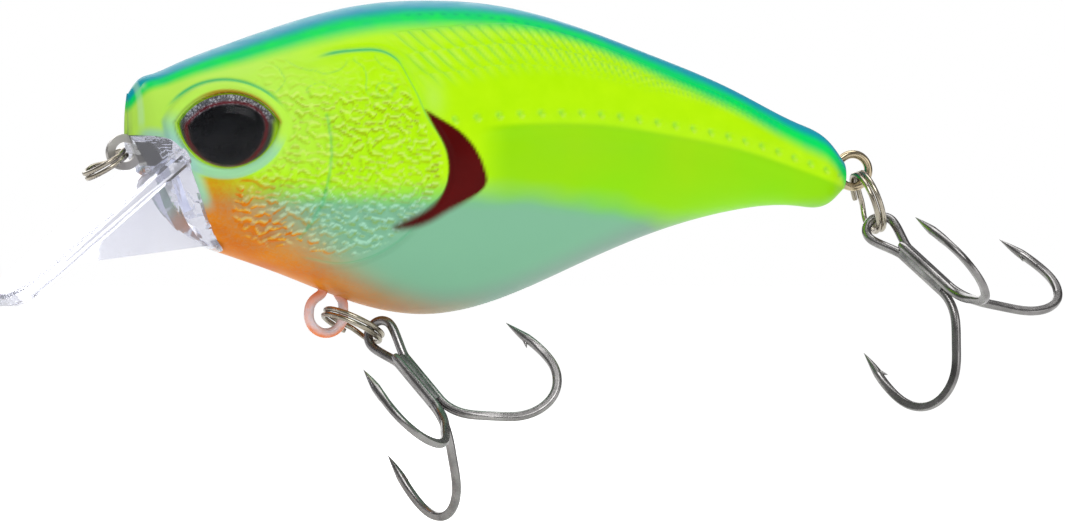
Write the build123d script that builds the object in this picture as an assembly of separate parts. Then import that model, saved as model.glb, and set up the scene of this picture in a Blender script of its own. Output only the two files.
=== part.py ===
"""Crankbait lure, built as separate pieces in one frame.

Millimetres. The origin is the centre of the line-tie eye in the nose. +X runs towards the tail, +Z is up
and -Y is the fish's left side. The two body halves part on the plane Y = 0.
"""
from build123d import *
from math import cos, pi, radians, sin
import os

os.makedirs("parts", exist_ok=True)

# Body outline: X, top Z, bottom Z, half width, Z of the widest line.
STATIONS = (
    (0.4, 5.5, -1.6, 1.6, 2.0),
    (1.4, 6.8, -3.3, 3.6, 1.9),
    (2.6, 7.32, -4.8, 4.9, 1.8),
    (4.8, 8.2, -7.1, 6.5, 1.6),
    (9.5, 10.0, -9.5, 8.4, 1.3),
    (15.4, 12.0, -11.5, 9.8, 1.0),
    (22.4, 13.8, -14.1, 10.5, 0.7),
    (29.5, 14.35, -15.2, 10.6, 0.3),
    (36.6, 13.85, -13.7, 10.1, 0.3),
    (43.7, 12.05, -10.7, 8.9, 0.5),
    (51.9, 9.1, -7.4, 6.9, 0.4),
    (59.5, 6.0, -5.4, 5.0, 0.0),
    (66.1, 2.8, -5.0, 3.55, -1.0),
    (69.0, 1.1, -4.7, 2.7, -1.7),
    (70.4, -0.7, -3.4, 1.4, -2.0),
)
SECTION_POWER = 2.15
SECTION_ROOT = 1.9
SECTION_STEPS = 8
WALL = 1.5
CAVITY_START = 4.2
CAVITY_END = 62.0

# Edge between the painted shells and the clear lip, seen from the side (X, Z).
LIP_SEAM = ((-2.0, 1.62), (1.5, 1.52), (2.83, 1.25), (3.94, 0.28), (4.87, -1.6), (6.0, -4.4), (7.2, -6.8),
            (8.9, -9.2), (10.2, -11.0))
FRONT_WALL = 1.3
COLLAR_DEPTH = 1.5

# Clear lip.
LIP_SLOPE = 40.5
LIP_ROOT = (2.85, -0.57)
LIP_LENGTH = 19.9
LIP_WIDTH = 15.0
LIP_THICKNESS = 1.5
LIP_CORNER = 5.2
LIP_BURIED = 2.4
LIP_BEVEL = 0.3
CHIN_FLOOR = -1.3
CHIN_BACK = 4.2
CHIN_FRONT = ((0.3, 1.7), (0.75, 0.2), (1.5, -1.3))
WEB = ((-6.9, -10.75, 0.35), (-3.0, -10.2, 0.9), (1.0, -9.65, 1.5), (4.6, -9.15, 2.3), (7.9, -8.7, 2.6))
TONGUE_START = 4.0
TONGUE_END = 11.8
TONGUE_HALF_WIDTH = 2.6
TONGUE_Z = -3.4
TONGUE_HEIGHT = 3.0

# Eyes.
EYE_CENTRE = (8.0, -7.75, 2.75)
EYE_NORMAL = (-0.34, -0.935, 0.095)
EYE_HALF_LENGTH = 4.85
EYE_LOWER = 4.3
EYE_UPPER = 2.9
EYE_POCKET_DEPTH = 1.5
EYE_CUP_WALL = 1.0
EYE_FOIL = 0.25
EYE_DOME_RADIUS = 9.0
EYE_DOME_HEIGHT = 2.15

# Wire hangers and the stamped line tie.
TIE_THICKNESS = 0.8
TIE_HOLE = 0.95
TIE_RADIUS = 1.7
TIE_STRAP_END = 11.5
TIE_STRAP_HALF = 1.0
TIE_PEG_X = 9.6
TIE_PEG_RADIUS = 0.55
BELLY_LOOP = (19.6, -15.3)
BELLY_LOOP_RADIUS = 1.68
BELLY_WIRE = 0.95
WIRE_CLEARANCE = 0.03
TAIL_LOOP = (71.45, -1.6)
TAIL_LOOP_RADIUS = 1.55
TAIL_WIRE = 0.8
TAIL_ANCHOR = 64.5

# Split rings: centreline radius, wire, direction from the hanger to the ring's centre, wire direction there.
RING_WIRE = 0.52
RING_PITCH = 0.56
RING_RADIUS = 2.88
LINE_RING_RADIUS = 2.12
LINE_RING_WIRE = 0.48
LINE_RING_AIM = (-0.85, 0.0, -0.53)
BELLY_RING_AIM = (0.747, -0.583, -0.320)
BELLY_RING_TANGENT = (0.432, 0.856, -0.285)
TAIL_RING_AIM = (0.312, -0.402, -0.861)
TAIL_RING_TANGENT = (0.137, 0.916, -0.377)
TAIL_RING_HANG = 0.6
RING_GAP_HALF = 30.0

# Treble hooks: a wire pair with the eye loop, a third hook brazed to it.
HOOK_WIRE = 0.88
SHANK_OFFSET = 0.52
HOOK_EYE_RADIUS = 1.39
SHANK_START = 3.4
SHANK_END = 9.2
HOOK_BEND = ((11.4, 1.15), (13.7, 3.3), (15.45, 5.5), (15.95, 7.4), (15.4, 9.4), (13.6, 10.75), (11.0, 10.95))
HOOK_POINT_BASE = (9.2, 10.65)
HOOK_POINT_TIP = (6.5, 9.95)
HOOK_TIP_RADIUS = 0.05
BARB_LENGTH = 1.25
BARB_RADIUS = 0.24
SINGLE_TOP = 2.9
BRAZE_RADIUS = 0.72
BELLY_HOOK_AXIS = (0.430, -0.587, -0.686)
BELLY_HOOK_FRONT = (-0.724, -0.678, 0.126)
TAIL_HOOK_AXIS = (0.505, -0.609, -0.611)
TAIL_HOOK_FRONT = (-0.357, -0.792, 0.494)

# Weights, rattles and inner structure.
BALLAST_RADIUS = 3.1
BALLAST_LENGTH = 11.0
BALLAST_AT = (30.5, -9.6)
NOSE_WEIGHT_RADIUS = 1.9
NOSE_WEIGHT_LENGTH = 7.0
NOSE_WEIGHT_AT = (14.4, -6.2)
CELL_WALL = 0.9
BULKHEADS = (25.6, 37.2, 51.0)
BULKHEAD_THICKNESS = 1.2
# Rattle cells: start X, end X, Z, ball radius, ball X at rest.
RATTLES = {
    "rattle_ball_large": (37.2, 51.0, -2.2, 2.5, 41.4),
    "rattle_ball_upper": (25.6, 37.2, 7.2, 2.0, 29.0),
    "rattle_ball_rear": (37.2, 51.0, 4.9, 1.5, 47.6),
}
BALL_CLEARANCE = 0.2
PEGS = ((14.6, 7.2), (23.6, -6.2), (33.4, 0.6), (55.6, 1.0))
PEG_RADIUS = 0.8
PEG_HOLE_RADIUS = 0.85
PEG_LENGTH = 1.6
PEG_HOLE_DEPTH = 1.9
PEG_BOSS_RADIUS = 1.9
SPAN = 40.0
REACH = 30.0


def section(station, inset):
    """Closed cross-section of the body at one station, moved inwards by inset."""
    x, top, bottom, width, middle = station
    top, bottom, width = top - inset, bottom + inset, width - inset
    right = []
    for step in range(SECTION_STEPS + 1):
        height = sin(pi * (step / SECTION_STEPS - 0.5))
        reach = top - middle if height > 0 else middle - bottom
        side = width * max(0.0, 1 - abs(height) ** SECTION_POWER) ** (1 / SECTION_ROOT)
        right.append(Vector(x, side, middle + reach * height))
    left = [Vector(p.X, -p.Y, p.Z) for p in reversed(right)]
    upward = Spline(*right, tangents=[(0, 1, 0), (0, -1, 0)])
    downward = Spline(*left, tangents=[(0, -1, 0), (0, 1, 0)])
    return Face(Wire([upward.edge(), downward.edge()]))


def between(start, end):
    """Stations from start to end, with the outline interpolated at both limits."""
    inside = [s for s in STATIONS if start < s[0] < end]
    return [interpolated(start)] + inside + [interpolated(end)]


def interpolated(x):
    """Straight-line interpolation of the outline at X."""
    for low, high in zip(STATIONS, STATIONS[1:]):
        if low[0] <= x <= high[0]:
            share = (x - low[0]) / (high[0] - low[0])
            return tuple(a + share * (b - a) for a, b in zip(low, high))
    return STATIONS[-1]


def body_solid():
    """The whole fish body as one solid."""
    return Solid.make_loft([section(s, 0).outer_wire() for s in STATIONS])


def cavity_solid():
    """The hollow, one wall thickness inside the body."""
    return Solid.make_loft([section(s, WALL).outer_wire() for s in between(CAVITY_START, CAVITY_END)])


def slab(outline, half_width=SPAN):
    """Extrudes a closed side-view outline to both sides of the parting plane."""
    plane = Plane.XZ.offset(-half_width)
    wire = Wire([edge for edge in outline])
    return Solid.extrude(Face(wire), Vector(0, 2 * half_width, 0)).moved(Location((0, -half_width, 0)))


def seam_edges(shift, lift=0.0):
    """The lip seam as a curve in the plane Y = 0, moved back by shift and up by lift."""
    points = [Vector(x + shift, 0, z + lift) for x, z in LIP_SEAM]
    return Spline(*points).edge(), points[0], points[-1]


def ahead_of_seam(shift, lift=0.0):
    """Everything in front of and below the seam."""
    curve, start, end = seam_edges(shift, lift)
    corner_low = Vector(end.X, 0, -REACH)
    corner_front = Vector(-REACH, 0, -REACH)
    corner_top = Vector(-REACH, 0, start.Z)
    lines = [Edge.make_line(end, corner_low), Edge.make_line(corner_low, corner_front),
             Edge.make_line(corner_front, corner_top), Edge.make_line(corner_top, start)]
    return slab([curve] + lines)


def block(x0, x1, y0, y1, z0, z1):
    """Box from its limits."""
    return Solid.make_box(x1 - x0, y1 - y0, z1 - z0, Plane((x0, y0, z0)))


def along_y(x, z, radius, start, length):
    """Cylinder parallel to Y."""
    return Solid.make_cylinder(radius, length, Plane((x, start, z), x_dir=(1, 0, 0), z_dir=(0, 1, 0)))


def along_x(x, y, z, radius, length):
    """Cylinder parallel to X."""
    return Solid.make_cylinder(radius, length, Plane((x, y, z), x_dir=(0, 1, 0), z_dir=(1, 0, 0)))


def mirrored(shape):
    """The shape on the other side of the parting plane."""
    return shape.mirror(Plane.XZ)


def swept(path, radius):
    """Round wire along a path that starts along its own first tangent."""
    start = Plane(path @ 0, z_dir=path % 0)
    profile = Wire.make_circle(radius, start)
    return Solid.sweep(profile, path=path)


def frame_from(origin, axis, second):
    """Plane whose local Z is axis and whose local X is second, made square to axis."""
    normal = Vector(*axis).normalized()
    sideways = Vector(*second)
    sideways = (sideways - normal * sideways.dot(normal)).normalized()
    return Plane(origin, x_dir=sideways, z_dir=normal)


# ---- eyes -------------------------------------------------------------------------------------------


def eye_plane(depth):
    """Plane parallel to the eye, below the body surface by depth; local X runs back, local Y up."""
    normal = Vector(*EYE_NORMAL).normalized()
    across = Vector(0, 0, 1).cross(normal).normalized()
    return Plane(Vector(*EYE_CENTRE) - normal * depth, x_dir=across, z_dir=normal)


def eye_face(depth, grow):
    """Almond outline of the eye, grown all round."""
    plane = eye_plane(depth)
    front = (-EYE_HALF_LENGTH - grow, 0)
    back = (EYE_HALF_LENGTH + grow, 0)
    upper = ThreePointArc(front, (0, EYE_UPPER + grow), back)
    lower = ThreePointArc(back, (0, -EYE_LOWER - grow), front)
    return plane * make_face([upper.edge(), lower.edge()])


def eye_prism(depth, grow, height):
    """Straight prism on the eye outline, rising from depth along the eye's normal."""
    return Solid.extrude(eye_face(depth, grow).face(), Vector(*EYE_NORMAL).normalized() * height)


def eye_foil():
    """Printed foil at the bottom of the pocket."""
    return eye_prism(EYE_POCKET_DEPTH, 0, EYE_FOIL)


def eye_dome():
    """Clear lens over the foil."""
    lens = eye_prism(EYE_POCKET_DEPTH - EYE_FOIL, 0, EYE_DOME_HEIGHT)
    ball_depth = EYE_POCKET_DEPTH - EYE_FOIL - EYE_DOME_HEIGHT + EYE_DOME_RADIUS
    ball = Solid.make_sphere(EYE_DOME_RADIUS, Plane(eye_plane(ball_depth).origin))
    return lens & ball


# ---- line tie and wire hangers ----------------------------------------------------------------------


def line_tie_hanger():
    """Stamped plate: round eye in front of the nose and a strap pinned inside the body."""
    eye = along_y(0, 0, TIE_RADIUS, -TIE_THICKNESS / 2, TIE_THICKNESS)
    strap = block(0, TIE_STRAP_END, -TIE_THICKNESS / 2, TIE_THICKNESS / 2, -TIE_STRAP_HALF, TIE_STRAP_HALF)
    hole = along_y(0, 0, TIE_HOLE, -TIE_THICKNESS, 2 * TIE_THICKNESS)
    peg_hole = along_y(TIE_PEG_X, 0, TIE_PEG_RADIUS, -TIE_THICKNESS, 2 * TIE_THICKNESS)
    return (eye + strap) - hole - peg_hole


def belly_hanger(clearance=0.0):
    """Wire eye under the belly with two legs anchored between the halves."""
    x, z = BELLY_LOOP
    wire = BELLY_WIRE / 2 + clearance
    r = BELLY_LOOP_RADIUS
    front_leg = Edge.make_line(Vector(x - 2.2, 0, z + 6.0), Vector(x - 0.3, 0, z + 4.4))
    neck = Edge.make_line(Vector(x - 0.3, 0, z + 4.4), Vector(x - 0.3, 0, z + 2.5))
    shoulder = Spline((x - 0.3, 0, z + 2.5), (x - 1.0, 0, z + 1.62), (x - r, 0, z),
                      tangents=[(0, 0, -1), (0, 0, -1)]).edge()
    bowl = Edge.make_three_point_arc(Vector(x - r, 0, z), Vector(x, 0, z - r), Vector(x + r, 0, z))
    rise = Spline((x + r, 0, z), (x + 1.55, 0, z + 1.4), (x + 1.0, 0, z + 2.7), tangents=[(0, 0, 1), (0, 0, 1)]).edge()
    back_leg = Edge.make_line(Vector(x + 1.0, 0, z + 2.7), Vector(x + 1.0, 0, z + 4.4))
    foot = Edge.make_line(Vector(x + 1.0, 0, z + 4.4), Vector(x + 2.9, 0, z + 6.0))
    bent = Wire([neck, shoulder, bowl, rise, back_leg])
    main = swept(bent, wire)
    for leg, joint in ((front_leg, (x - 0.3, z + 4.4)), (foot, (x + 1.0, z + 4.4))):
        main = main + swept(Wire([leg]), wire)
        main = main + Solid.make_sphere(wire, Plane((joint[0], 0, joint[1])))
    return main


def tail_hanger(clearance=0.0):
    """Wire bow behind the tail with both legs running into the solid tail stem."""
    x, z = TAIL_LOOP
    r = TAIL_LOOP_RADIUS
    upper = Edge.make_line(Vector(TAIL_ANCHOR, 0, z + r), Vector(x, 0, z + r))
    bow = Edge.make_three_point_arc(Vector(x, 0, z + r), Vector(x + r, 0, z), Vector(x, 0, z - r))
    lower = Edge.make_line(Vector(x, 0, z - r), Vector(TAIL_ANCHOR, 0, z - r))
    anchor = Edge.make_three_point_arc(
        Vector(TAIL_ANCHOR, 0, z - r), Vector(TAIL_ANCHOR - r, 0, z), Vector(TAIL_ANCHOR - 0.5, 0, z + r - 0.1))
    return swept(Wire([upper, bow, lower, anchor]), TAIL_WIRE / 2 + clearance)


# ---- split rings ------------------------------------------------------------------------------------


def split_ring(radius, wire, pitch, plane):
    """Two flat turns joined by one short step, with both wire ends beside the step."""
    points = []
    gap = radians(RING_GAP_HALF)
    steps = 44
    for step in range(steps + 1):
        turn = gap + (4 * pi - 2 * gap) * step / steps
        share = (turn - (2 * pi - gap)) / (2 * gap)
        eased = 0.5 - 0.5 * cos(pi * min(1.0, max(0.0, share)))
        points.append(plane.from_local_coords((radius * cos(turn), radius * sin(turn), pitch * (eased - 0.5))))
    path = Wire([Spline(*points).edge()])
    return swept(path, wire / 2)


def ring_plane(hanger, aim, tangent, radius, hang=0.0):
    """Ring frame: centre one radius and the hang along aim from the hanger, step at right angles to aim."""
    direction = Vector(*aim).normalized()
    along = Vector(*tangent)
    along = (along - direction * along.dot(direction)).normalized()
    centre = Vector(*hanger) + direction * (radius + hang)
    return Plane(centre, x_dir=along, z_dir=direction.cross(along))


def line_split_ring():
    """Ring the line is tied to."""
    plane = ring_plane((0, 0, 0), LINE_RING_AIM, (0, 1, 0), LINE_RING_RADIUS)
    return split_ring(LINE_RING_RADIUS, LINE_RING_WIRE, LINE_RING_WIRE + 0.04, plane)


def belly_split_ring():
    """Ring between the belly hanger and its treble."""
    plane = ring_plane((BELLY_LOOP[0], 0, BELLY_LOOP[1]), BELLY_RING_AIM, BELLY_RING_TANGENT, RING_RADIUS)
    return split_ring(RING_RADIUS, RING_WIRE, RING_PITCH, plane)


def tail_split_ring():
    """Ring between the tail hanger and its treble."""
    plane = ring_plane((TAIL_LOOP[0], 0, TAIL_LOOP[1]), TAIL_RING_AIM, TAIL_RING_TANGENT, RING_RADIUS,
                       TAIL_RING_HANG)
    return split_ring(RING_RADIUS, RING_WIRE, RING_PITCH, plane)


# ---- treble hooks -----------------------------------------------------------------------------------


def hook_frame(hanger, aim, axis, front, hang=0.0):
    """Treble frame: local Z along the shank, local X towards the front hook, origin in the eye."""
    origin = Vector(*hanger) + Vector(*aim).normalized() * (2 * RING_RADIUS + hang)
    return frame_from(origin, axis, front)


def hook_bend_points(azimuth):
    """Bend of one hook as local points, from the shank to the base of its point."""
    outward = Vector(cos(azimuth), sin(azimuth), 0)
    places = HOOK_BEND + (HOOK_POINT_BASE,)
    return [outward * rho + Vector(0, 0, s) for s, rho in places]


def hook_curve(azimuth):
    """Bend of one hook, leaving the shank straight."""
    outward = Vector(cos(azimuth), sin(azimuth), 0)
    points = [outward * SHANK_OFFSET + Vector(0, 0, SHANK_END)] + hook_bend_points(azimuth)
    heading = outward * (HOOK_POINT_TIP[1] - HOOK_POINT_BASE[1])
    heading = heading + Vector(0, 0, HOOK_POINT_TIP[0] - HOOK_POINT_BASE[0])
    return Spline(*points, tangents=[(0, 0, 1), tuple(heading)]).edge(), heading


def hook_point(azimuth):
    """Tapered point with its barb on the inner side."""
    outward = Vector(cos(azimuth), sin(azimuth), 0)
    base = outward * HOOK_POINT_BASE[1] + Vector(0, 0, HOOK_POINT_BASE[0])
    tip = outward * HOOK_POINT_TIP[1] + Vector(0, 0, HOOK_POINT_TIP[0])
    heading = tip - base
    cone = Solid.make_cone(HOOK_WIRE / 2, HOOK_TIP_RADIUS, heading.length, Plane(base, z_dir=heading))
    root = base + heading * 0.12
    back = (heading.normalized() * -1) * 0.80 - outward * 0.60
    barb = Solid.make_cone(BARB_RADIUS, HOOK_TIP_RADIUS, BARB_LENGTH, Plane(root, z_dir=back))
    return cone + barb


def treble_double(frame):
    """One wire: two rear hooks, two shanks and the eye loop between them."""
    left, right = radians(120), radians(-120)
    setback = SHANK_OFFSET * cos(left)
    half = SHANK_OFFSET * sin(left)
    r = HOOK_EYE_RADIUS
    bend_left, _ = hook_curve(left)
    bend_right, _ = hook_curve(right)
    shank_left = Edge.make_line(Vector(setback, half, SHANK_END), Vector(setback, half, SHANK_START))
    shank_right = Edge.make_line(Vector(setback, -half, SHANK_START), Vector(setback, -half, SHANK_END))
    shoulder_left = Spline((setback, half, SHANK_START), (setback, r, 0), tangents=[(0, 0.25, -1), (0, 0, -1)],
                           tangent_scalars=(0.9, 1.0)).edge()
    shoulder_right = Spline((setback, -r, 0), (setback, -half, SHANK_START), tangents=[(0, 0, 1), (0, 0.25, 1)],
                            tangent_scalars=(1.0, 0.9)).edge()
    loop = Edge.make_three_point_arc(Vector(setback, r, 0), Vector(setback, 0, -r), Vector(setback, -r, 0))
    radius = HOOK_WIRE / 2
    wire = swept(Wire([bend_left]), radius) + swept(Wire([bend_right]), radius)
    wire = wire + swept(Wire([shank_left]), radius) + swept(Wire([shank_right]), radius)
    crown = swept(Wire([shoulder_left, loop, shoulder_right]), radius)
    knuckles = [Solid.make_sphere(radius, Plane((setback, side * half, SHANK_START))) for side in (1, -1)]
    wire = wire + crown + knuckles[0] + knuckles[1]
    wire = wire + hook_point(left) + hook_point(right)
    return frame.location * wire


def treble_single(frame):
    """Third hook, its shank laid in front of the pair."""
    bend, _ = hook_curve(0.0)
    shank = Edge.make_line(Vector(SHANK_OFFSET, 0, SINGLE_TOP), Vector(SHANK_OFFSET, 0, SHANK_END))
    wire = swept(Wire([shank, bend]), HOOK_WIRE / 2) + hook_point(0.0)
    return frame.location * wire


def treble_braze(frame):
    """Braze metal that fills the grooves between the three shanks."""
    length = SHANK_END - SHANK_START
    core = Solid.make_cylinder(BRAZE_RADIUS, length, Plane((0, 0, SHANK_START)))
    for turn in (0, 120, -120):
        x, y = SHANK_OFFSET * cos(radians(turn)), SHANK_OFFSET * sin(radians(turn))
        core = core - Solid.make_cylinder(HOOK_WIRE / 2, length, Plane((x, y, SHANK_START)))
    return frame.location * core


# ---- clear lip --------------------------------------------------------------------------------------


def lip_plate():
    """Rounded bill plate with bevelled rims, sloping down and forward from the nose."""
    slope = radians(LIP_SLOPE)
    forward = Vector(-cos(slope), 0, -sin(slope))
    upward = Vector(-sin(slope), 0, cos(slope))
    plane = Plane(Vector(LIP_ROOT[0], 0, LIP_ROOT[1]) - upward * LIP_THICKNESS, x_dir=forward, z_dir=upward)
    length = LIP_LENGTH + LIP_BURIED
    sheet = Location(((length / 2 - LIP_BURIED), 0, 0)) * Rectangle(length, LIP_WIDTH)
    tip = sheet.vertices().sort_by(Axis.X)[-2:]
    sheet = fillet(tip, LIP_CORNER)
    plate = extrude(sheet, LIP_THICKNESS)
    rims = [e for e in plate.edges() if e.center().X > 0.5 and abs((e % 0.5).Z) < 0.1]
    plate = chamfer(rims, LIP_BEVEL)
    return plane.location * plate.solid()


def lip_top(x):
    """Height of the bill's top face above X on the centre line."""
    slope = radians(LIP_SLOPE)
    return LIP_ROOT[1] + (x - LIP_ROOT[0]) * sin(slope) / cos(slope)


def lip_web():
    """Tapered keel under the bill that carries the load to the throat."""
    wires = []
    drop = LIP_THICKNESS / cos(radians(LIP_SLOPE)) - 0.3
    for x, bottom, half in WEB:
        top = lip_top(x) - drop
        flare = half * 1.55
        corners = [Vector(x, -flare, top), Vector(x, flare, top), Vector(x, half, bottom), Vector(x, -half, bottom)]
        wires.append(Wire.make_polygon(corners, close=True))
    return Solid.make_loft(wires, True)


def chin_region():
    """Side-view zone of the chin block and of the collar that backs the painted seam."""
    seam = [Vector(x - COLLAR_DEPTH, 0, z - 0.3) for x, z in LIP_SEAM[3:]]
    chin_corner = Vector(CHIN_BACK - COLLAR_DEPTH, 0, CHIN_FLOOR)
    curve = Spline(chin_corner, *seam[1:]).edge()
    top, low = REACH, -REACH
    start, end = curve @ 0, curve @ 1
    front = [Vector(x, 0, z) for x, z in CHIN_FRONT]
    ring = [Vector(end.X, 0, low), Vector(SPAN, 0, low), Vector(SPAN, 0, top), Vector(front[0].X, 0, top)] + front
    lines = [Edge.make_line(a, b) for a, b in zip([end] + ring, ring + [start])]
    return slab([curve] + lines)


def diving_lip(body, tie):
    """One clear moulding: chin, collar, bill, keel and the tongue glued between the halves."""
    front = ahead_of_seam(0)
    clear = body & front & chin_region()
    plate = lip_plate() & front
    web = lip_web() & front
    tongue = block(TONGUE_START, TONGUE_END, -TONGUE_HALF_WIDTH, TONGUE_HALF_WIDTH,
                   TONGUE_Z - TONGUE_HEIGHT / 2, TONGUE_Z + TONGUE_HEIGHT / 2)
    return clear + plate + web + tongue - tie


# ---- body halves ------------------------------------------------------------------------------------


def cells():
    """Tubes for the rattle balls, solid outside and bored inside."""
    outer, inner = [], []
    for start, end, z, radius, _ in RATTLES.values():
        bore = radius + BALL_CLEARANCE
        outer.append(along_x(start, 0, z, bore + CELL_WALL, end - start))
        inner.append(along_x(start + BULKHEAD_THICKNESS / 2, 0, z, bore, end - start - BULKHEAD_THICKNESS))
    return outer, inner


def posts():
    """Everything that stands inside the hollow before the pockets are cut."""
    half = BULKHEAD_THICKNESS / 2
    items = [block(x - half, x + half, -SPAN, SPAN, -SPAN, SPAN) for x in BULKHEADS]
    items += [along_y(x, z, PEG_BOSS_RADIUS, -SPAN, 2 * SPAN) for x, z in PEGS]
    items.append(along_y(BALLAST_AT[0], BALLAST_AT[1], BALLAST_RADIUS + CELL_WALL, -SPAN, 2 * SPAN))
    items.append(along_y(NOSE_WEIGHT_AT[0], NOSE_WEIGHT_AT[1], NOSE_WEIGHT_RADIUS + CELL_WALL, -SPAN, 2 * SPAN))
    items.append(block(BELLY_LOOP[0] - 3.6, BELLY_LOOP[0] + 4.2, -3.0, 3.0, -SPAN, BELLY_LOOP[1] + 7.2))
    items.append(block(CAVITY_START, TIE_STRAP_END + 1.0, -3.4, 3.4, -6.2, TIE_STRAP_HALF + 1.2))
    return items


def halves(body, cavity, lip, pieces, cups, pockets):
    """Left and right moulded halves."""
    hollow = cavity - ahead_of_seam(FRONT_WALL, 1.2)
    for item in posts() + cups:
        hollow = hollow - item
    outer, inner = cells()
    for item in outer:
        hollow = hollow - item
    shell = body - ahead_of_seam(0) - hollow
    for item in inner + pockets + pieces:
        shell = shell - item
    ballast, nose = ballast_cast(BALLAST_AT, BALLAST_RADIUS, BALLAST_LENGTH), ballast_cast(
        NOSE_WEIGHT_AT, NOSE_WEIGHT_RADIUS, NOSE_WEIGHT_LENGTH)
    shell = shell - ballast - nose - lip
    left = shell & block(-SPAN, 3 * SPAN, -SPAN, 0, -SPAN, SPAN)
    right = shell & block(-SPAN, 3 * SPAN, 0, SPAN, -SPAN, SPAN)
    for x, z in PEGS:
        left = left + along_y(x, z, PEG_RADIUS, -1.0, 1.0 + PEG_LENGTH)
        right = right - along_y(x, z, PEG_HOLE_RADIUS, -1.0, 1.0 + PEG_HOLE_DEPTH)
    right = right - along_y(TIE_PEG_X, 0, TIE_PEG_RADIUS, -1.0, 1.0 + TIE_THICKNESS / 2)
    left = left + along_y(TIE_PEG_X, 0, TIE_PEG_RADIUS, -1.0, 1.0 + TIE_THICKNESS / 2)
    return left, right


def ballast_cast(place, radius, length):
    """Cast weight lying across the body."""
    return along_y(place[0], place[1], radius, -length / 2, length)


def rattle_ball(name):
    """Loose ball resting on the floor of its cell."""
    _, _, z, radius, x = RATTLES[name]
    return Solid.make_sphere(radius, Plane((x, 0, z - BALL_CLEARANCE / 2)))


def single_solid(shape):
    """The largest solid of a result, dropping boolean crumbs."""
    solids = shape.solids()
    return max(solids, key=lambda s: s.volume)


def save(name, shape):
    """Writes one sub-part."""
    export_step(single_solid(shape), "parts/%s.step" % name)


def main():
    """Builds and writes every piece."""
    body, cavity = body_solid(), cavity_solid()
    tie, belly, tail = line_tie_hanger(), belly_hanger(), tail_hanger()
    lip = diving_lip(body, tie)
    cup = eye_prism(EYE_POCKET_DEPTH + EYE_CUP_WALL, EYE_CUP_WALL, SPAN)
    pocket = eye_prism(EYE_POCKET_DEPTH, 0, SPAN)
    channels = [tie, belly_hanger(WIRE_CLEARANCE), tail_hanger(WIRE_CLEARANCE)]
    left, right = halves(body, cavity, lip, channels, [cup, mirrored(cup)], [pocket, mirrored(pocket)])
    save("shell_left", left)
    save("shell_right", right)
    save("diving_lip", lip)
    save("eye_foil_left", eye_foil())
    save("eye_foil_right", mirrored(eye_foil()))
    save("eye_dome_left", eye_dome())
    save("eye_dome_right", mirrored(eye_dome()))
    save("line_tie_hanger", tie)
    save("belly_hanger", belly)
    save("tail_hanger", tail)
    save("line_split_ring", line_split_ring())
    save("belly_split_ring", belly_split_ring())
    save("tail_split_ring", tail_split_ring())
    belly_frame = hook_frame((BELLY_LOOP[0], 0, BELLY_LOOP[1]), BELLY_RING_AIM, BELLY_HOOK_AXIS, BELLY_HOOK_FRONT)
    tail_frame = hook_frame((TAIL_LOOP[0], 0, TAIL_LOOP[1]), TAIL_RING_AIM, TAIL_HOOK_AXIS, TAIL_HOOK_FRONT,
                            TAIL_RING_HANG)
    for place, frame in (("belly", belly_frame), ("tail", tail_frame)):
        save(place + "_treble_double", treble_double(frame))
        save(place + "_treble_single", treble_single(frame))
        save(place + "_treble_braze", treble_braze(frame))
    save("belly_ballast", ballast_cast(BALLAST_AT, BALLAST_RADIUS, BALLAST_LENGTH))
    save("nose_ballast", ballast_cast(NOSE_WEIGHT_AT, NOSE_WEIGHT_RADIUS, NOSE_WEIGHT_LENGTH))
    for name in RATTLES:
        save(name, rattle_ball(name))


main()
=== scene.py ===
"""Looks for the crankbait lure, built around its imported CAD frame. Metres, except where a name says mm."""

import math

import bmesh
import bpy
import numpy as np
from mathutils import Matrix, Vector


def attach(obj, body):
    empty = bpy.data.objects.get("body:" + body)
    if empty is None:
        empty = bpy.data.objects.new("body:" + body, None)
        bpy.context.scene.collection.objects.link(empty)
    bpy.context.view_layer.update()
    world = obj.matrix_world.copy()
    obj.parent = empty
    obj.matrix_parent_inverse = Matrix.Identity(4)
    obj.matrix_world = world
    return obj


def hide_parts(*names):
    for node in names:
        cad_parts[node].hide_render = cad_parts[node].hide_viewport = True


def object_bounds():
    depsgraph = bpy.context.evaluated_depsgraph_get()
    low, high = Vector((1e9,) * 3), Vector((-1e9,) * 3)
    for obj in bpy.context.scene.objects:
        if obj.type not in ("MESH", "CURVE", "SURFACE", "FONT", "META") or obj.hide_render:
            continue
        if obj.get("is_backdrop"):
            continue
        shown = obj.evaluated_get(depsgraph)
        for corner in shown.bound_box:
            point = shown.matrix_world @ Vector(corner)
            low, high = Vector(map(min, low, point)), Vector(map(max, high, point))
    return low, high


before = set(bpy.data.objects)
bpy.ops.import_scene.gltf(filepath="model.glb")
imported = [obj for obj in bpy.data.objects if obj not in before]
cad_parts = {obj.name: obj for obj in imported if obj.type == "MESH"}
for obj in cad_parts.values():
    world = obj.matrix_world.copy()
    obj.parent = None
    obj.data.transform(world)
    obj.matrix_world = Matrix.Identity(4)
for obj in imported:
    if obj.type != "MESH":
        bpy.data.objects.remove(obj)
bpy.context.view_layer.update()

MM = 0.001

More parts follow.
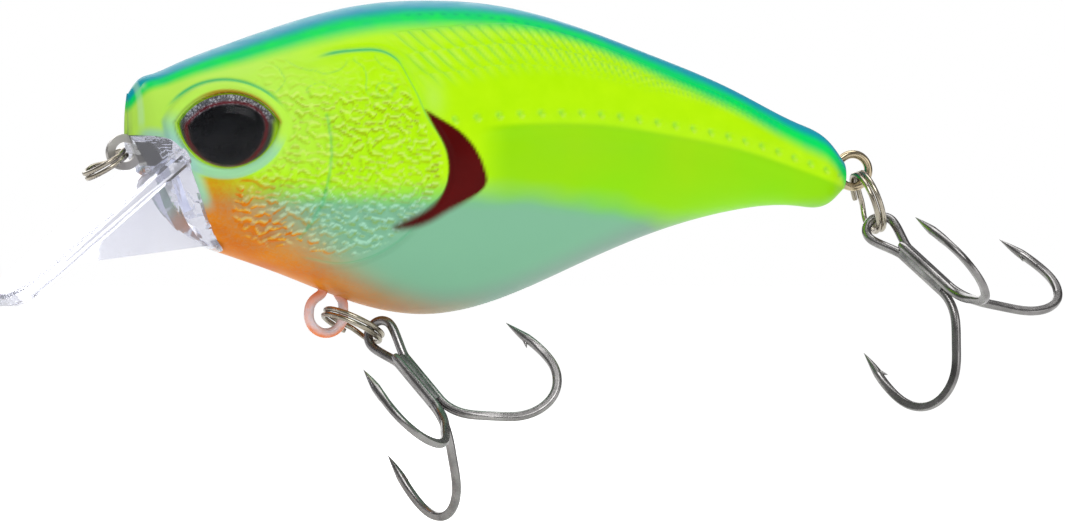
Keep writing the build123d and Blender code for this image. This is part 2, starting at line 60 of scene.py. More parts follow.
# ---- shape of the body, in millimetres ---------------------------------------------------------------
# X, top Z, bottom Z, half width, Z of the widest line
STATIONS = np.array((
    (0.4, 5.5, -1.6, 1.6, 2.0), (1.4, 6.8, -3.3, 3.6, 1.9), (2.6, 7.32, -4.8, 4.9, 1.8),
    (4.8, 8.2, -7.1, 6.5, 1.6), (9.5, 10.0, -9.5, 8.4, 1.3), (15.4, 12.0, -11.5, 9.8, 1.0),
    (22.4, 13.8, -14.1, 10.5, 0.7), (29.5, 14.35, -15.2, 10.6, 0.3), (36.6, 13.85, -13.7, 10.1, 0.3),
    (43.7, 12.05, -10.7, 8.9, 0.5), (51.9, 9.1, -7.4, 6.9, 0.4), (59.5, 6.0, -5.4, 5.0, 0.0),
    (66.1, 2.8, -5.0, 3.55, -1.0), (69.0, 1.1, -4.7, 2.7, -1.7), (70.4, -0.7, -3.4, 1.4, -2.0)))
SECTION_POWER = 2.15
SECTION_ROOT = 1.9
LIP_SEAM = ((-2.0, 1.62), (1.5, 1.52), (2.83, 1.25), (3.94, 0.28), (4.87, -1.6), (6.0, -4.4), (7.2, -6.8),
            (8.9, -9.2), (10.2, -11.0))
EYE_CENTRE = np.array((8.0, -7.75, 2.75))
EYE_NORMAL = np.array((-0.34, -0.935, 0.095))
EYE_HALF_LENGTH, EYE_LOWER, EYE_UPPER = 4.85, 4.3, 2.9
EYE_DEPTH, EYE_FOIL = 1.5, 0.25
GILL = ((15.6, 8.4), (18.2, 9.2), (20.9, 9.5), (22.8, 9.4), (24.2, 8.5), (25.0, 6.9), (25.7, 5.4),
        (26.6, 3.2), (27.4, 2.0), (28.2, 0.5), (28.6, -1.7), (28.0, -4.0), (26.6, -5.4), (25.6, -6.9),
        (23.9, -8.6), (21.4, -10.0), (18.7, -10.4), (15.5, -9.8), (9.0, -10.5), (5.0, -4.0), (6.0, 6.0),
        (12.0, 7.2))
CHEEK = ((8.9, -3.2), (8.7, -5.2), (9.6, -7.2), (11.3, -8.5), (13.4, -9.0), (15.0, -8.7), (16.4, -9.4),
         (18.7, -9.9), (21.4, -9.5), (23.6, -8.2), (25.2, -6.5), (27.5, -3.7), (28.1, -1.6), (27.6, 0.6),
         (26.2, 3.0), (25.3, 5.2), (24.5, 7.0), (22.6, 9.0), (20.6, 9.1), (16.2, 8.1), (13.8, 8.9),
         (12.0, 8.6), (10.9, 7.4), (9.0, 2.0))
CREASE = ((17.0, 3.4), (17.4, -0.1), (17.2, -2.5), (16.5, -5.6), (15.2, -8.1))
SLASH = ((26.4, 4.0), (27.9, 3.1), (29.4, 2.2), (31.2, 0.4), (32.2, -1.6), (32.4, -2.8), (31.1, -4.2),
         (28.5, -5.7), (25.4, -7.1), (23.6, -7.1), (24.6, -6.4), (26.6, -5.4), (28.0, -4.0), (28.6, -1.7),
         (28.2, 0.5), (27.4, 2.0))
LATERAL = ((29.3, 3.0), (33.7, 3.4), (38.0, 3.6), (44.1, 3.5), (49.8, 2.8), (55.5, 1.9), (60.7, 0.7),
           (68.8, -1.9))
DIMPLE_X = tuple(29.3 + 2.2 * k - 0.0135 * k * k for k in range(22))


def spline(x_known, y_known, start=None, end=None):
    """Cubic spline through points; natural ends unless an end slope is given."""
    x_known, y_known = np.asarray(x_known, float), np.asarray(y_known, float)
    n, h = len(x_known), np.diff(x_known)
    matrix = np.zeros((n, n))
    right = np.zeros((n,) + y_known.shape[1:])
    steps = np.diff(y_known, axis=0) / (h[:, None] if y_known.ndim > 1 else h)
    matrix[0, 0] = matrix[-1, -1] = 1
    if start is not None:
        matrix[0, 0], matrix[0, 1], right[0] = 2 * h[0], h[0], 6 * (steps[0] - start)
    if end is not None:
        matrix[-1, -1], matrix[-1, -2], right[-1] = 2 * h[-1], h[-1], 6 * (end - steps[-1])
    for i in range(1, n - 1):
        matrix[i, i - 1], matrix[i, i], matrix[i, i + 1] = h[i - 1], 2 * (h[i - 1] + h[i]), h[i]
        right[i] = 6 * (steps[i] - steps[i - 1])
    bend = np.linalg.solve(matrix, right)

    def value(t):
        t = np.asarray(t, float)
        i = np.clip(np.searchsorted(x_known, t) - 1, 0, n - 2)
        a, c, w = x_known[i + 1] - t, t - x_known[i], h[i]
        if y_known.ndim > 1:
            a, c, w = a[..., None], c[..., None], w[..., None]
        a, c = a / w, c / w
        curve = (a ** 3 - a) * bend[i] + (c ** 3 - c) * bend[i + 1]
        return a * y_known[i] + c * y_known[i + 1] + curve * w * w / 6
    return value


TOP, BOTTOM, WIDTH, MIDDLE = (spline(STATIONS[:, 0], STATIONS[:, k]) for k in (1, 2, 3, 4))
LATERAL_Z = spline([p[0] for p in LATERAL], [p[1] for p in LATERAL])


def section_point(x, height):
    """Z and half width on the body at X, for a height between -1 (belly) and 1 (back)."""
    middle = MIDDLE(x)
    reach = np.where(height > 0, TOP(x) - middle, middle - BOTTOM(x))
    side = WIDTH(x) * np.maximum(0, 1 - np.abs(height) ** SECTION_POWER) ** (1 / SECTION_ROOT)
    return middle + reach * height, side


def half_width(x, z):
    """Half width of the undecorated body at a side-view point."""
    middle = MIDDLE(x)
    reach = np.where(z > middle, TOP(x) - middle, middle - BOTTOM(x))
    return section_point(x, np.clip((z - middle) / reach, -1, 1))[1]


def dense(points, count):
    """Smooth curve through side-view points."""
    points = np.asarray(points, float)
    run = np.concatenate([[0], np.cumsum(np.linalg.norm(np.diff(points, axis=0), axis=1))])
    return spline(run, points)(np.linspace(0, run[-1], count))


def eye_axes(side):
    """Origin, backward, upward and outward directions of one eye."""
    flip = np.array((1.0, -side, 1.0))
    normal = EYE_NORMAL / np.linalg.norm(EYE_NORMAL)
    back = np.cross((0, 0, 1.0), normal)
    back /= np.linalg.norm(back)
    up = np.cross(normal, back)
    return EYE_CENTRE * flip, back * flip, up * flip, normal * flip


def arc_through(half, rise, count):
    """Circular arc from -half to half along X with the given rise."""
    radius = (half * half + rise * rise) / (2 * abs(rise))
    span = math.asin(half / radius) if abs(rise) <= half else math.pi - math.asin(half / radius)
    angles = np.linspace(-span, span, count)
    sign = 1 if rise > 0 else -1
    return np.stack([radius * np.sin(angles), sign * (radius * np.cos(angles) - radius + abs(rise))], axis=-1)


def almond(grow, count=40):
    """Outline of the eye in its own plane."""
    upper = arc_through(EYE_HALF_LENGTH + grow, EYE_UPPER + grow, count)
    lower = arc_through(EYE_HALF_LENGTH + grow, -EYE_LOWER - grow, count)[::-1]
    return np.concatenate([upper[:-1], lower[:-1]])


def side_view(outline):
    """Side-view places of points given in the plane of the left eye."""
    origin, back, up, normal = eye_axes(-1)
    return np.array([(origin + back * u + up * v)[[0, 2]] for u, v in outline])


def smooth(low, high, value):
    """Smooth step from 0 at low to 1 at high."""
    t = np.clip((value - low) / (high - low), 0, 1)
    return t * t * (3 - 2 * t)


def bell(value, width):
    """Gaussian bump."""
    return np.exp(-(value / width) ** 2)


def polyline_distance(x, z, points, closed):
    """Distance to a polyline; negative inside when it is closed."""
    points = np.asarray(points, float)
    ends = np.roll(points, -1, axis=0) if closed else points[1:]
    starts = points if closed else points[:-1]
    best = np.full(x.shape, 1e9)
    inside = np.zeros(x.shape, bool)
    for a, b in zip(starts, ends):
        d = b - a
        t = np.clip(((x - a[0]) * d[0] + (z - a[1]) * d[1]) / (d @ d), 0, 1)
        best = np.minimum(best, np.hypot(x - a[0] - t * d[0], z - a[1] - t * d[1]))
        if closed and a[1] != b[1]:
            crossing = ((a[1] > z) != (b[1] > z)) & (x < (b[0] - a[0]) * (z - a[1]) / (b[1] - a[1]) + a[0])
            inside ^= crossing
    return np.where(inside, -best, best) if closed else best


GRID = np.random.RandomState(11).rand(256, 256) * 2 * math.pi


def ripple(x, z):
    """Two-dimensional gradient noise, about -0.7 to 0.7."""
    ix, iz = np.floor(x).astype(int), np.floor(z).astype(int)
    fx, fz = x - ix, z - iz
    sx, sz = fx * fx * fx * (fx * (fx * 6 - 15) + 10), fz * fz * fz * (fz * (fz * 6 - 15) + 10)

    def corner(dx, dz):
        angle = GRID[(ix + dx) % 256, (iz + dz) % 256]
        return np.cos(angle) * (fx - dx) + np.sin(angle) * (fz - dz)
    low = corner(0, 0) * (1 - sx) + corner(1, 0) * sx
    high = corner(0, 1) * (1 - sx) + corner(1, 1) * sx
    return low * (1 - sz) + high * sz


def closed_curve(points, count):
    """Smooth closed outline through side-view points."""
    return dense(tuple(points) + (points[0],), count)[:-1]


GILL_EDGE = closed_curve(GILL, 150)
CHEEK_EDGE = closed_curve(CHEEK, 150)
CREASE_LINE = dense(CREASE, 40)
SEAM_LINE = dense(LIP_SEAM[1:], 50)
SLASH_EDGE = closed_curve(SLASH, 140)
EYE_EDGE = side_view(almond(0.0))


def eye_distance(x, z):
    """Side-view distance outside the opening of the eye."""
    return polyline_distance(x, z, EYE_EDGE, True)


def cheek_mask(x, z):
    """Where the cheek and gill plate carry their worm-like wrinkles."""
    within = smooth(-0.1, 0.6, -polyline_distance(x, z, CHEEK_EDGE, True))
    return within * smooth(1.15, 1.6, eye_distance(x, z))


def wrinkles(x, z):
    """Height of the worm-like wrinkles, 0 in their valleys and 1 on top."""
    wx = x + 0.30 * ripple(x / 1.3 + 31.0, z / 1.1 + 7.0)
    wz = z + 0.26 * ripple(x / 1.1 + 11.0, z / 1.3 + 57.0)
    worm = ripple(wx / 0.80 + 9.0, wz / 0.56 + 73.0) + 0.38 * ripple(wx / 0.46 + 50.0, wz / 0.40 + 20.0)
    return smooth(-0.16, 0.26, worm)


def smooth_cells(x, z):
    """Fine outlines of the few large flat cells high on the cheek."""
    wx = x + 0.8 * ripple(x / 2.1 + 5.0, z / 1.7 + 17.0)
    return bell(ripple(wx / 2.6 + 3.0, z / 1.9 + 41.0), 0.035)


def wrinkle_strength(z):
    """Wrinkles are full on the lower cheek and nearly gone at its top."""
    return 0.14 + 0.86 * smooth(7.2, 3.6, z)


ROW_EDGE = spline((24.0, 28.0, 36.0, 44.0, 52.0, 60.0, 68.0), (2.9, 2.75, 1.9, 1.55, 1.6, 1.35, 1.0))
ROW_HEIGHT = spline((24.0, 36.0, 48.0, 60.0, 68.0), (2.15, 1.9, 1.35, 0.85, 0.7))
SCALE_PITCH = spline((24.0, 44.0, 56.0, 68.0), (1.17, 1.17, 0.95, 0.76))


def scale_field(x, z):
    """Saw-tooth place across each scale, and how strongly the scales show."""
    row = (TOP(x) - z - ROW_EDGE(x)) / ROW_HEIGHT(x)
    cell = row - np.floor(row)
    lean = ROW_HEIGHT(x) * (0.68 * cell ** 1.5 - 0.10 * (1 - cell) ** 6)
    place = (x - lean) / SCALE_PITCH(x) + 0.5 * np.floor(row)
    saw = place - np.floor(place)
    start = polyline_distance(x, z, GILL_EDGE, True)
    area = smooth(0.6, 1.6, start) * smooth(23.0, 25.5, x) * (1 - smooth(60, 66, x))
    area = area * smooth(-0.05, 0.05, row) * (1 - smooth(1.6, 3.0, row + 0.10 * np.maximum(x - 30, 0) / 3))
    return saw, area, cell


def relief(x, z):
    """How far the painted skin stands off the plain body."""
    height = np.zeros(x.shape)
    ring = eye_distance(x, z)
    height += 0.42 * bell(ring - 0.45, 0.42) - 0.16 * bell(ring - 1.12, 0.17) * smooth(2.0, 4.5, z)
    height -= 0.08 * bell(ring - 1.15, 0.15) * smooth(2.5, 0.5, z)
    gill = polyline_distance(x, z, GILL_EDGE, True)
    rear = smooth(15.0, 20.0, x)
    height += rear * (0.34 * smooth(0.16, -0.30, gill) * np.exp(np.minimum(gill, 0) / 7.0))
    height -= rear * 0.12 * bell(gill - 0.30, 0.22)
    height -= 0.16 * bell(polyline_distance(x, z, CREASE_LINE, False), 0.20)
    mask = cheek_mask(x, z)
    height += (0.24 * wrinkles(x, z) * wrinkle_strength(z) - 0.07) * mask
    height -= 0.07 * smooth_cells(x, z) * mask * smooth(4.5, 6.0, z)
    saw, area, cell = scale_field(x, z)
    rounded = smooth(0.0, 0.30, saw) * (1 - smooth(0.90, 1.0, saw))
    height += 0.15 * area * rounded * (1 - 0.5 * smooth(0.75, 1.0, cell))
    ridge = z - (LATERAL_Z(x) - 1.15)
    flank = smooth(30.5, 35.0, x) * (1 - smooth(60, 67, x))
    height += 0.22 * flank * np.where(ridge > 0, bell(ridge, 2.8), bell(ridge, 0.75))
    for k in DIMPLE_X:
        r = np.hypot(x - k, z - LATERAL_Z(k))
        height += 0.05 * bell(r - 0.46, 0.16) - 0.30 * bell(r, 0.29)
    return height


# ---- mesh helpers ------------------------------------------------------------------------------------


def make_object(name, verts_mm, faces, smooth_angle=35.0):
    """Mesh object from millimetre points, smooth shaded with sharp edges kept."""
    mesh = bpy.data.meshes.new(name)
    mesh.from_pydata((np.asarray(verts_mm) * MM).tolist(), [], [list(map(int, f)) for f in faces])
    mesh.validate()
    finish_mesh(mesh, smooth_angle)
    obj = bpy.data.objects.new(name, mesh)
    bpy.context.scene.collection.objects.link(obj)
    return obj


def finish_mesh(mesh, smooth_angle):
    """Recalculates the face normals and shades smoothly, with edges above the angle kept sharp."""
    bm = bmesh.new()
    bm.from_mesh(mesh)
    bmesh.ops.recalc_face_normals(bm, faces=bm.faces[:])
    bm.to_mesh(mesh)
    bm.free()
    mesh.polygons.foreach_set("use_smooth", np.ones(len(mesh.polygons), bool))
    mesh.set_sharp_from_angle(angle=math.radians(smooth_angle))
    mesh.update()


def coords_of(mesh):
    """Vertex positions of a mesh in millimetres."""
    co = np.zeros(len(mesh.vertices) * 3)
    mesh.vertices.foreach_get("co", co)
    return co.reshape(-1, 3) / MM


def cut(obj, cutter):
    """Takes another closed object away from this one and removes that other object."""
    modifier = obj.modifiers.new("cut", "BOOLEAN")
    modifier.operation, modifier.object, modifier.solver = "DIFFERENCE", cutter, "MANIFOLD"
    evaluated = obj.evaluated_get(bpy.context.evaluated_depsgraph_get())
    mesh = bpy.data.meshes.new_from_object(evaluated)
    obj.modifiers.remove(modifier)
    old, obj.data = obj.data, mesh
    mesh.name = obj.name
    bpy.data.meshes.remove(old)
    bpy.data.objects.remove(cutter)
    return obj


def prism(name, outline_mm, plane_origin, axis_u, axis_v, axis_n, low, high):
    """Closed prism on a planar outline."""
    outline = [plane_origin + axis_u * p[0] + axis_v * p[1] for p in outline_mm]
    bottom = [p + axis_n * low for p in outline]
    top = [p + axis_n * high for p in outline]
    n = len(outline)
    faces = [list(range(n)), [n + i for i in reversed(range(n))]]
    faces += [[i, (i + 1) % n, n + (i + 1) % n, n + i] for i in range(n)]
    return make_object(name, bottom + top, faces)


# ---- painted body halves -----------------------------------------------------------------------------


HEAD_PITCH, BACK_COLUMNS, TAIL_COLUMNS, SKIN_ROWS = 0.135, 165, 12, 230
# share of the half width, draw along X in mm, and the end column that each cap is made from
CAPS = ((0.0, 0.16, 0), (0.5, 0.12, 0), (0.82, 0.05, 0),
        (0.82, -0.05, -1), (0.5, -0.12, -1), (0.0, -0.16, -1))
CORE_INSET, CORE_COLUMNS, CORE_ROWS = 0.6, 90, 48
SHELL_ANGLE, EYE_ANGLE, WIRE_ANGLE = 32, 40, 42


def column_places():
    """X of each column: fine over the wrinkled head, coarser behind."""
    head = np.arange(1.4, 30.0, HEAD_PITCH)
    nose = np.array((0.4, 0.46, 0.55, 0.68, 0.85, 1.05, 1.25))
    back = np.linspace(30.0, 69.0, BACK_COLUMNS)
    tail = 69.0 + 1.4 * np.sin(np.linspace(0, math.pi / 2, TAIL_COLUMNS))[1:]
    return np.concatenate([nose, head, back, tail])


def half_faces(cols, rows):
    """Faces of a closed half body: its skin, the strip in the parting plane and both ends."""
    index = np.arange(cols * rows).reshape(cols, rows)
    skin = np.stack([index[:-1, :-1], index[1:, :-1], index[1:, 1:], index[:-1, 1:]], axis=-1)
    faces = skin.reshape(-1, 4).tolist()
    faces += [[index[i, 0], index[i, -1], index[i + 1, -1], index[i + 1, 0]] for i in range(cols - 1)]
    return faces + [index[0].tolist(), index[-1][::-1].tolist()]


def decorated_half(side):
    """Closed half body on one side of the parting plane, with its relief."""
    heights = np.sin(np.linspace(-math.pi / 2, math.pi / 2, SKIN_ROWS))
    xs = column_places()
    z, y = section_point(xs[:, None], heights[None, :])
    x = np.repeat(xs[:, None], SKIN_ROWS, axis=1)
    grid = np.stack([x, y, z], axis=-1)
    along, around = np.gradient(grid, axis=0), np.gradient(grid, axis=1)
    normal = np.cross(around, along)
    normal /= np.maximum(np.linalg.norm(normal, axis=-1, keepdims=True), 1e-9)
    normal[:, 0], normal[:, -1] = (0, 0, -1), (0, 0, 1)
    fade = smooth(0.5, 1.4, x) * (1 - smooth(68.5, 70.0, x))
    grid = grid + normal * (relief(x, z) * fade)[..., None]
    grid[..., 1] = np.maximum(grid[..., 1], 0)
    grid[:, 0, 1] = grid[:, -1, 1] = 0
    # rounded nose and tail caps drawn in to the parting plane
    caps = []
    for share, bulge, source in CAPS:
        cap = grid[source].copy()
        cap[:, 1] *= share
        cap[:, 0] -= bulge
        caps.append(cap)
    grid = np.concatenate([np.array(caps[:3]), grid, np.array(caps[3:])])
    grid[..., 1] *= side
    return grid.reshape(-1, 3), half_faces(grid.shape[0], SKIN_ROWS)


def seam_prism():
    """Everything ahead of and below the lip seam."""
    curve = dense(LIP_SEAM, 60).tolist()
    outline = curve + [(10.2, -40.0), (-40.0, -40.0), (-40.0, 1.62)]
    return prism("seam_cutter", outline, np.zeros(3), np.array((1.0, 0, 0)), np.array((0, 0, 1.0)),
                 np.array((0, 1.0, 0)), -40.0, 40.0)


def welded_copy(node, name):
    """Closed working copy of a CAD node's mesh."""
    bm = bmesh.new()
    bm.from_mesh(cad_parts[node].data)
    bmesh.ops.remove_doubles(bm, verts=bm.verts[:], dist=2e-7)
    mesh = bpy.data.meshes.new(name)
    bm.to_mesh(mesh)
    bm.free()
    obj = bpy.data.objects.new(name, mesh)
    bpy.context.scene.collection.objects.link(obj)
    return obj


def inner_core(side):
    """Plain half body drawn in a little; what the CAD half leaves of it is the hollow."""
    xs = np.linspace(1.6, 66.5, CORE_COLUMNS)
    heights = np.sin(np.linspace(-math.pi / 2, math.pi / 2, CORE_ROWS))
    z, y = section_point(xs[:, None], heights[None, :])
    middle = MIDDLE(xs)[:, None]
    reach = np.where(z > middle, TOP(xs)[:, None] - middle, middle - BOTTOM(xs)[:, None])
    scale_z = 1 - CORE_INSET / reach
    scale_y = 1 - CORE_INSET / WIDTH(xs)[:, None]
    z = middle + (z - middle) * scale_z
    y = y * scale_y
    y[:, 0] = y[:, -1] = 0
    points = np.stack([np.repeat(xs[:, None], CORE_ROWS, axis=1), y * side, z], axis=-1)
    return make_object("core", points.reshape(-1, 3), half_faces(CORE_COLUMNS, CORE_ROWS))


def paint_attributes(mesh):
    """Per-vertex paint layers, painted highlights and painted shade among them, which the lacquer material
    mixes.
    """
    co = coords_of(mesh)
    x, y, z = co[:, 0], np.abs(co[:, 1]), co[:, 2]
    depth = TOP(x) - z
    spread = 0.80 + 0.45 * bell(x - 27, 14) - 0.22 * bell(x - 3, 5) + 0.40 * smooth(40, 56, x)
    back = 1 - smooth(0.35, 1.25, depth / spread)
    green = 1 - smooth(1.35, 2.7, depth / spread)
    edge = np.interp(x, (0, 14, 22, 30, 36, 46, 51, 56, 70),
                     (-3.0, -3.0, -3.3, -2.9, -3.2, -4.2, -5.6, -6.0, -4.6))
    wobble = 0.35 * ripple(x / 3.0, z / 2.0 + 80)
    belly = smooth(0.2, 4.2, edge + 1.2 + wobble - z)
    rise = z - BOTTOM(x)
    reach = np.interp(x, (7, 9, 10.4, 13.4, 18.5, 24, 30), (9.0, 6.4, 5.2, 3.7, 2.2, 1.4, 0.9))
    amount = np.interp(x, (8, 18, 24, 30, 35), (1.0, 1.0, 0.75, 0.35, 0.0))
    orange = amount * np.exp(-0.69 * (np.maximum(rise, 0) / reach) ** 1.9) * smooth(-1.9, -2.7, z)
    seam = polyline_distance(x, z, SEAM_LINE, False)
    fade = smooth(1.1, 0.1, seam) * smooth(-6.0, -3.8, z)
    orange = orange * (1 - 0.8 * fade)
    # painted highlight: a pale line along the nose facet's edge and a pale patch high on the nose
    facet_highlight = bell(x - 0.95, 0.13) * smooth(1.8, 3.0, z)
    facet_highlight = np.maximum(facet_highlight, 0.8 * bell(x - 1.25, 0.3) * smooth(5.6, 6.4, z) * (y > 1.5))
    slash = polyline_distance(x, z, SLASH_EDGE, True)
    soft = 0.17 + 0.30 * smooth(-3.5, -5.5, z)
    slash = smooth(soft, -soft, slash + 0.05 * ripple(x * 4, z * 4))
    slash *= smooth(0.5, 2.5, y)
    # painted soft highlight: paler lime over the nose and upper cheek, and a soft spot behind the gill plate
    painted_sheen = (1 - smooth(8, 22, x)) * smooth(-3, 0, z) * (1 - green)
    painted_sheen = np.maximum(painted_sheen, 0.6 * bell(np.hypot((x - 27.3), (z - 5.0) / 1.8), 1.0))
    gill = polyline_distance(x, z, GILL_EDGE, True)
    # dark green lines along the gill, eye and cheek grooves, the cell outlines and the dots; along the scale
    # edges they are partly pattern and partly painted shade, and high in each dimple they are painted shade
    dark_lines_and_shade = bell(gill - 0.05, 0.17) * smooth(7.6, 9.0, z) * smooth(16.5, 18.5, x)
    dark_lines_and_shade = np.maximum(dark_lines_and_shade, 0.5 * bell(gill, 0.11) * smooth(-1.5, 1.5, z) * smooth(18, 22, x))
    dark_lines_and_shade = np.maximum(dark_lines_and_shade, 0.30 * bell(gill, 0.10) * smooth(15, 17, x) * (1 - smooth(-3, -1, z)))
    ring = eye_distance(x, z)
    dark_lines_and_shade = np.maximum(dark_lines_and_shade, bell(ring - 1.12, 0.15) * smooth(4.0, 5.6, z))
    dark_lines_and_shade = np.maximum(dark_lines_and_shade, 0.45 * bell(polyline_distance(x, z, CREASE_LINE, False), 0.15))
    saw, area, cell = scale_field(x, z)
    thin = np.minimum(saw, 1 - saw) * SCALE_PITCH(x)
    dark_lines_and_shade = np.maximum(dark_lines_and_shade, 0.38 * area * bell(thin, 0.17) * (1 - 0.45 * cell))
    dark_lines_and_shade = np.maximum(dark_lines_and_shade, 0.30 * smooth_cells(x, z) * cheek_mask(x, z) * smooth(4.5, 6.0, z))
    dots = bell(np.mod(x, 1.17) - 0.58, 0.27) * bell(depth - 1.35 - 0.1 * (x > 34), 0.13) * smooth(25, 27, x)
    dots = dots * (1 - smooth(42, 50, x))
    dark_lines_and_shade = np.maximum(dark_lines_and_shade, 0.8 * dots)
    # painted shade: darker lime below the ridge along the flank
    below = LATERAL_Z(x) - 0.75 - z
    painted_ridge_shade = smooth(-0.15, 0.45, below) * smooth(31.0, 35.0, x)
    bumps, textured = wrinkles(x, z), cheek_mask(x, z) * wrinkle_strength(z)
    # painted highlight on the wrinkles' upper slopes and painted shade on their lower slopes
    painted_highlights = 2.2 * textured * (bumps - wrinkles(x, z + 0.20))
    shaded_lower_slopes = 2.0 * textured * (bumps - wrinkles(x, z - 0.18))
    # painted highlight along each scale, next to its edge
    painted_highlights = np.maximum(painted_highlights, 0.35 * area * bell(saw - 0.32, 0.16) * smooth(0.9, 0.4, cell))
    # in each dimple: painted highlight low inside the pit and painted shade high inside it
    for k in DIMPLE_X:
        pit = z - LATERAL_Z(k)
        painted_highlights = np.maximum(painted_highlights, 0.55 * bell(np.hypot(x - k - 0.1, pit + 0.20), 0.20))
        dark_lines_and_shade = np.maximum(dark_lines_and_shade, 0.28 * bell(np.hypot(x - k + 0.1, pit - 0.12), 0.24))
    rim = smooth(-0.1, 0.15, ring) * smooth(1.15, 0.9, ring) * smooth(3.2, 0.6, z + 0.25 * (x - 8))
    lid = smooth(0.30, 0.08, ring) * smooth(2.0, 3.4, z) * smooth(4.5, 7.5, x)
    write_layers(mesh, "coat_a", (back, green, belly, orange))
    write_layers(mesh, "coat_b", (slash, painted_sheen, dark_lines_and_shade, painted_ridge_shade))
    write_layers(mesh, "coat_c", (painted_highlights, shaded_lower_slopes, rim, lid))
    # painted shade: darker grey-green along the bottom of the belly
    painted_bottom_shade = smooth(3.2, 0.2, rise) * smooth(14, 24, x)
    # the last layer is painted shade: a thin dark band along the edge of the eye socket
    write_layers(mesh, "coat_d", (fade, facet_highlight, painted_bottom_shade, bell(ring - 0.02, 0.12)))


def write_layers(mesh, name, layers):
    """Stores four layers as one colour attribute."""
    data = np.clip(np.stack(layers, axis=-1), 0, 1).astype(np.float32)
    attribute = mesh.attributes.new(name, "FLOAT_COLOR", "POINT")
    attribute.data.foreach_set("color", data.ravel())


def painted_shell(side, node, name):
    """One painted half: relief outside, the CAD's ribs, pegs, cells and channels inside."""
    verts, faces = decorated_half(side)
    shell = make_object(name, verts, faces)
    shell = cut(shell, seam_prism())
    origin, back, up, normal = eye_axes(side)
    pocket = prism("pocket", almond(0.0), origin, back, up, normal, -EYE_DEPTH, 8.0)
    shell = cut(shell, pocket)
    hollow = cut(inner_core(side), welded_copy(node, "solid"))
    shell = cut(shell, hollow)
    mesh = shell.data
    mesh.materials.clear()
    for material in (LACQUER, BARE_PLASTIC):
        mesh.materials.append(material)
    finish_mesh(mesh, SHELL_ANGLE)
    paint_attributes(mesh)
    centres = np.zeros(len(mesh.polygons) * 3)
    mesh.polygons.foreach_get("center", centres)
    centres = centres.reshape(-1, 3) / MM
    gap = half_width(np.clip(centres[:, 0], 0.4, 70.4), centres[:, 2]) - np.abs(centres[:, 1])
    local = centres - origin
    in_eye = (np.abs(local @ back) < 5.4) & (np.abs(local @ up) < 4.9)
    in_eye &= local @ normal > -EYE_DEPTH + 0.05
    inside = (gap > 0.75) & ~in_eye & (centres[:, 0] > 1.8) & (centres[:, 0] < 68.5)
    flat = np.abs(centres[:, 1]) < 0.01
    mesh.polygons.foreach_set("material_index", (inside | flat).astype(np.int32))
    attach(shell, "lure_body")
    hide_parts(node)
    return shell


# ---- materials ---------------------------------------------------------------------------------------


def srgb(r, g, b):
    """Display colour, 0 to 255, as a linear one."""
    def line(c):
        c = c / 255.0
        return c / 12.92 if c <= 0.04045 else ((c + 0.055) / 1.055) ** 2.4
    return (line(r), line(g), line(b), 1.0)


class Nodes:
    """Small helper that builds a node tree for one material."""

    def __init__(self, name):
        self.material = bpy.data.materials.new(name)
        self.material.use_nodes = True
        self.tree = self.material.node_tree
        self.shader = self.tree.nodes["Principled BSDF"]
        self.place = self.add("ShaderNodeTexCoord").outputs["Object"]

    def add(self, kind, **settings):
        node = self.tree.nodes.new(kind)
        for key, value in settings.items():
            setattr(node, key, value)
        return node

    def link(self, source, target):
        self.tree.links.new(source, target)

    def put(self, target, value):
        if isinstance(value, bpy.types.NodeSocket):
            self.link(value, target)
        else:
            target.default_value = value

    def noise(self, scale, detail=3.0, rough=0.5, stretch=None):
        node = self.add("ShaderNodeTexNoise")
        source = self.place
        if stretch:
            mapping = self.add("ShaderNodeMapping")
            mapping.inputs["Scale"].default_value = stretch
            self.link(self.place, mapping.inputs["Vector"])
            source = mapping.outputs["Vector"]
        self.link(source, node.inputs["Vector"])
        node.inputs["Scale"].default_value = scale
        node.inputs["Detail"].default_value = detail
        node.inputs["Roughness"].default_value = rough
        return node.outputs["Fac"]

    def voronoi(self, scale):
        node = self.add("ShaderNodeTexVoronoi")
        self.link(self.place, node.inputs["Vector"])
        node.inputs["Scale"].default_value = scale
        return node.outputs["Distance"]

    def remap(self, value, low, high, to_low=0.0, to_high=1.0):
        node = self.add("ShaderNodeMapRange")
        self.link(value, node.inputs["Value"])
        for key, number in (("From Min", low), ("From Max", high), ("To Min", to_low), ("To Max", to_high)):
            node.inputs[key].default_value = number
        return node.outputs["Result"]

    def mix(self, share, first, second):
        node = self.add("ShaderNodeMix", data_type="RGBA")
        self.put(node.inputs["Factor"], share)
        self.put(node.inputs[6], first)
        self.put(node.inputs[7], second)
        return node.outputs[2]

    def maths(self, operation, first, second=0.5):
        node = self.add("ShaderNodeMath", operation=operation)
        self.put(node.inputs[0], first)
        self.put(node.inputs[1], second)
        return node.outputs[0]

    def layers(self, name):
        node = self.add("ShaderNodeAttribute", attribute_name=name)
        parts = self.add("ShaderNodeSeparateColor")
        self.link(node.outputs["Color"], parts.inputs["Color"])
        return parts.outputs["Red"], parts.outputs["Green"], parts.outputs["Blue"], node.outputs["Alpha"]

    def bump(self, height, strength, distance):
        node = self.add("ShaderNodeBump")
        node.inputs["Strength"].default_value = strength
        node.inputs["Distance"].default_value = distance
        self.link(height, node.inputs["Height"])
        self.link(node.outputs["Normal"], self.shader.inputs["Normal"])

    def set(self, **values):
        for key, value in values.items():
            self.put(self.shader.inputs[key.replace("_", " ")], value)
        return self


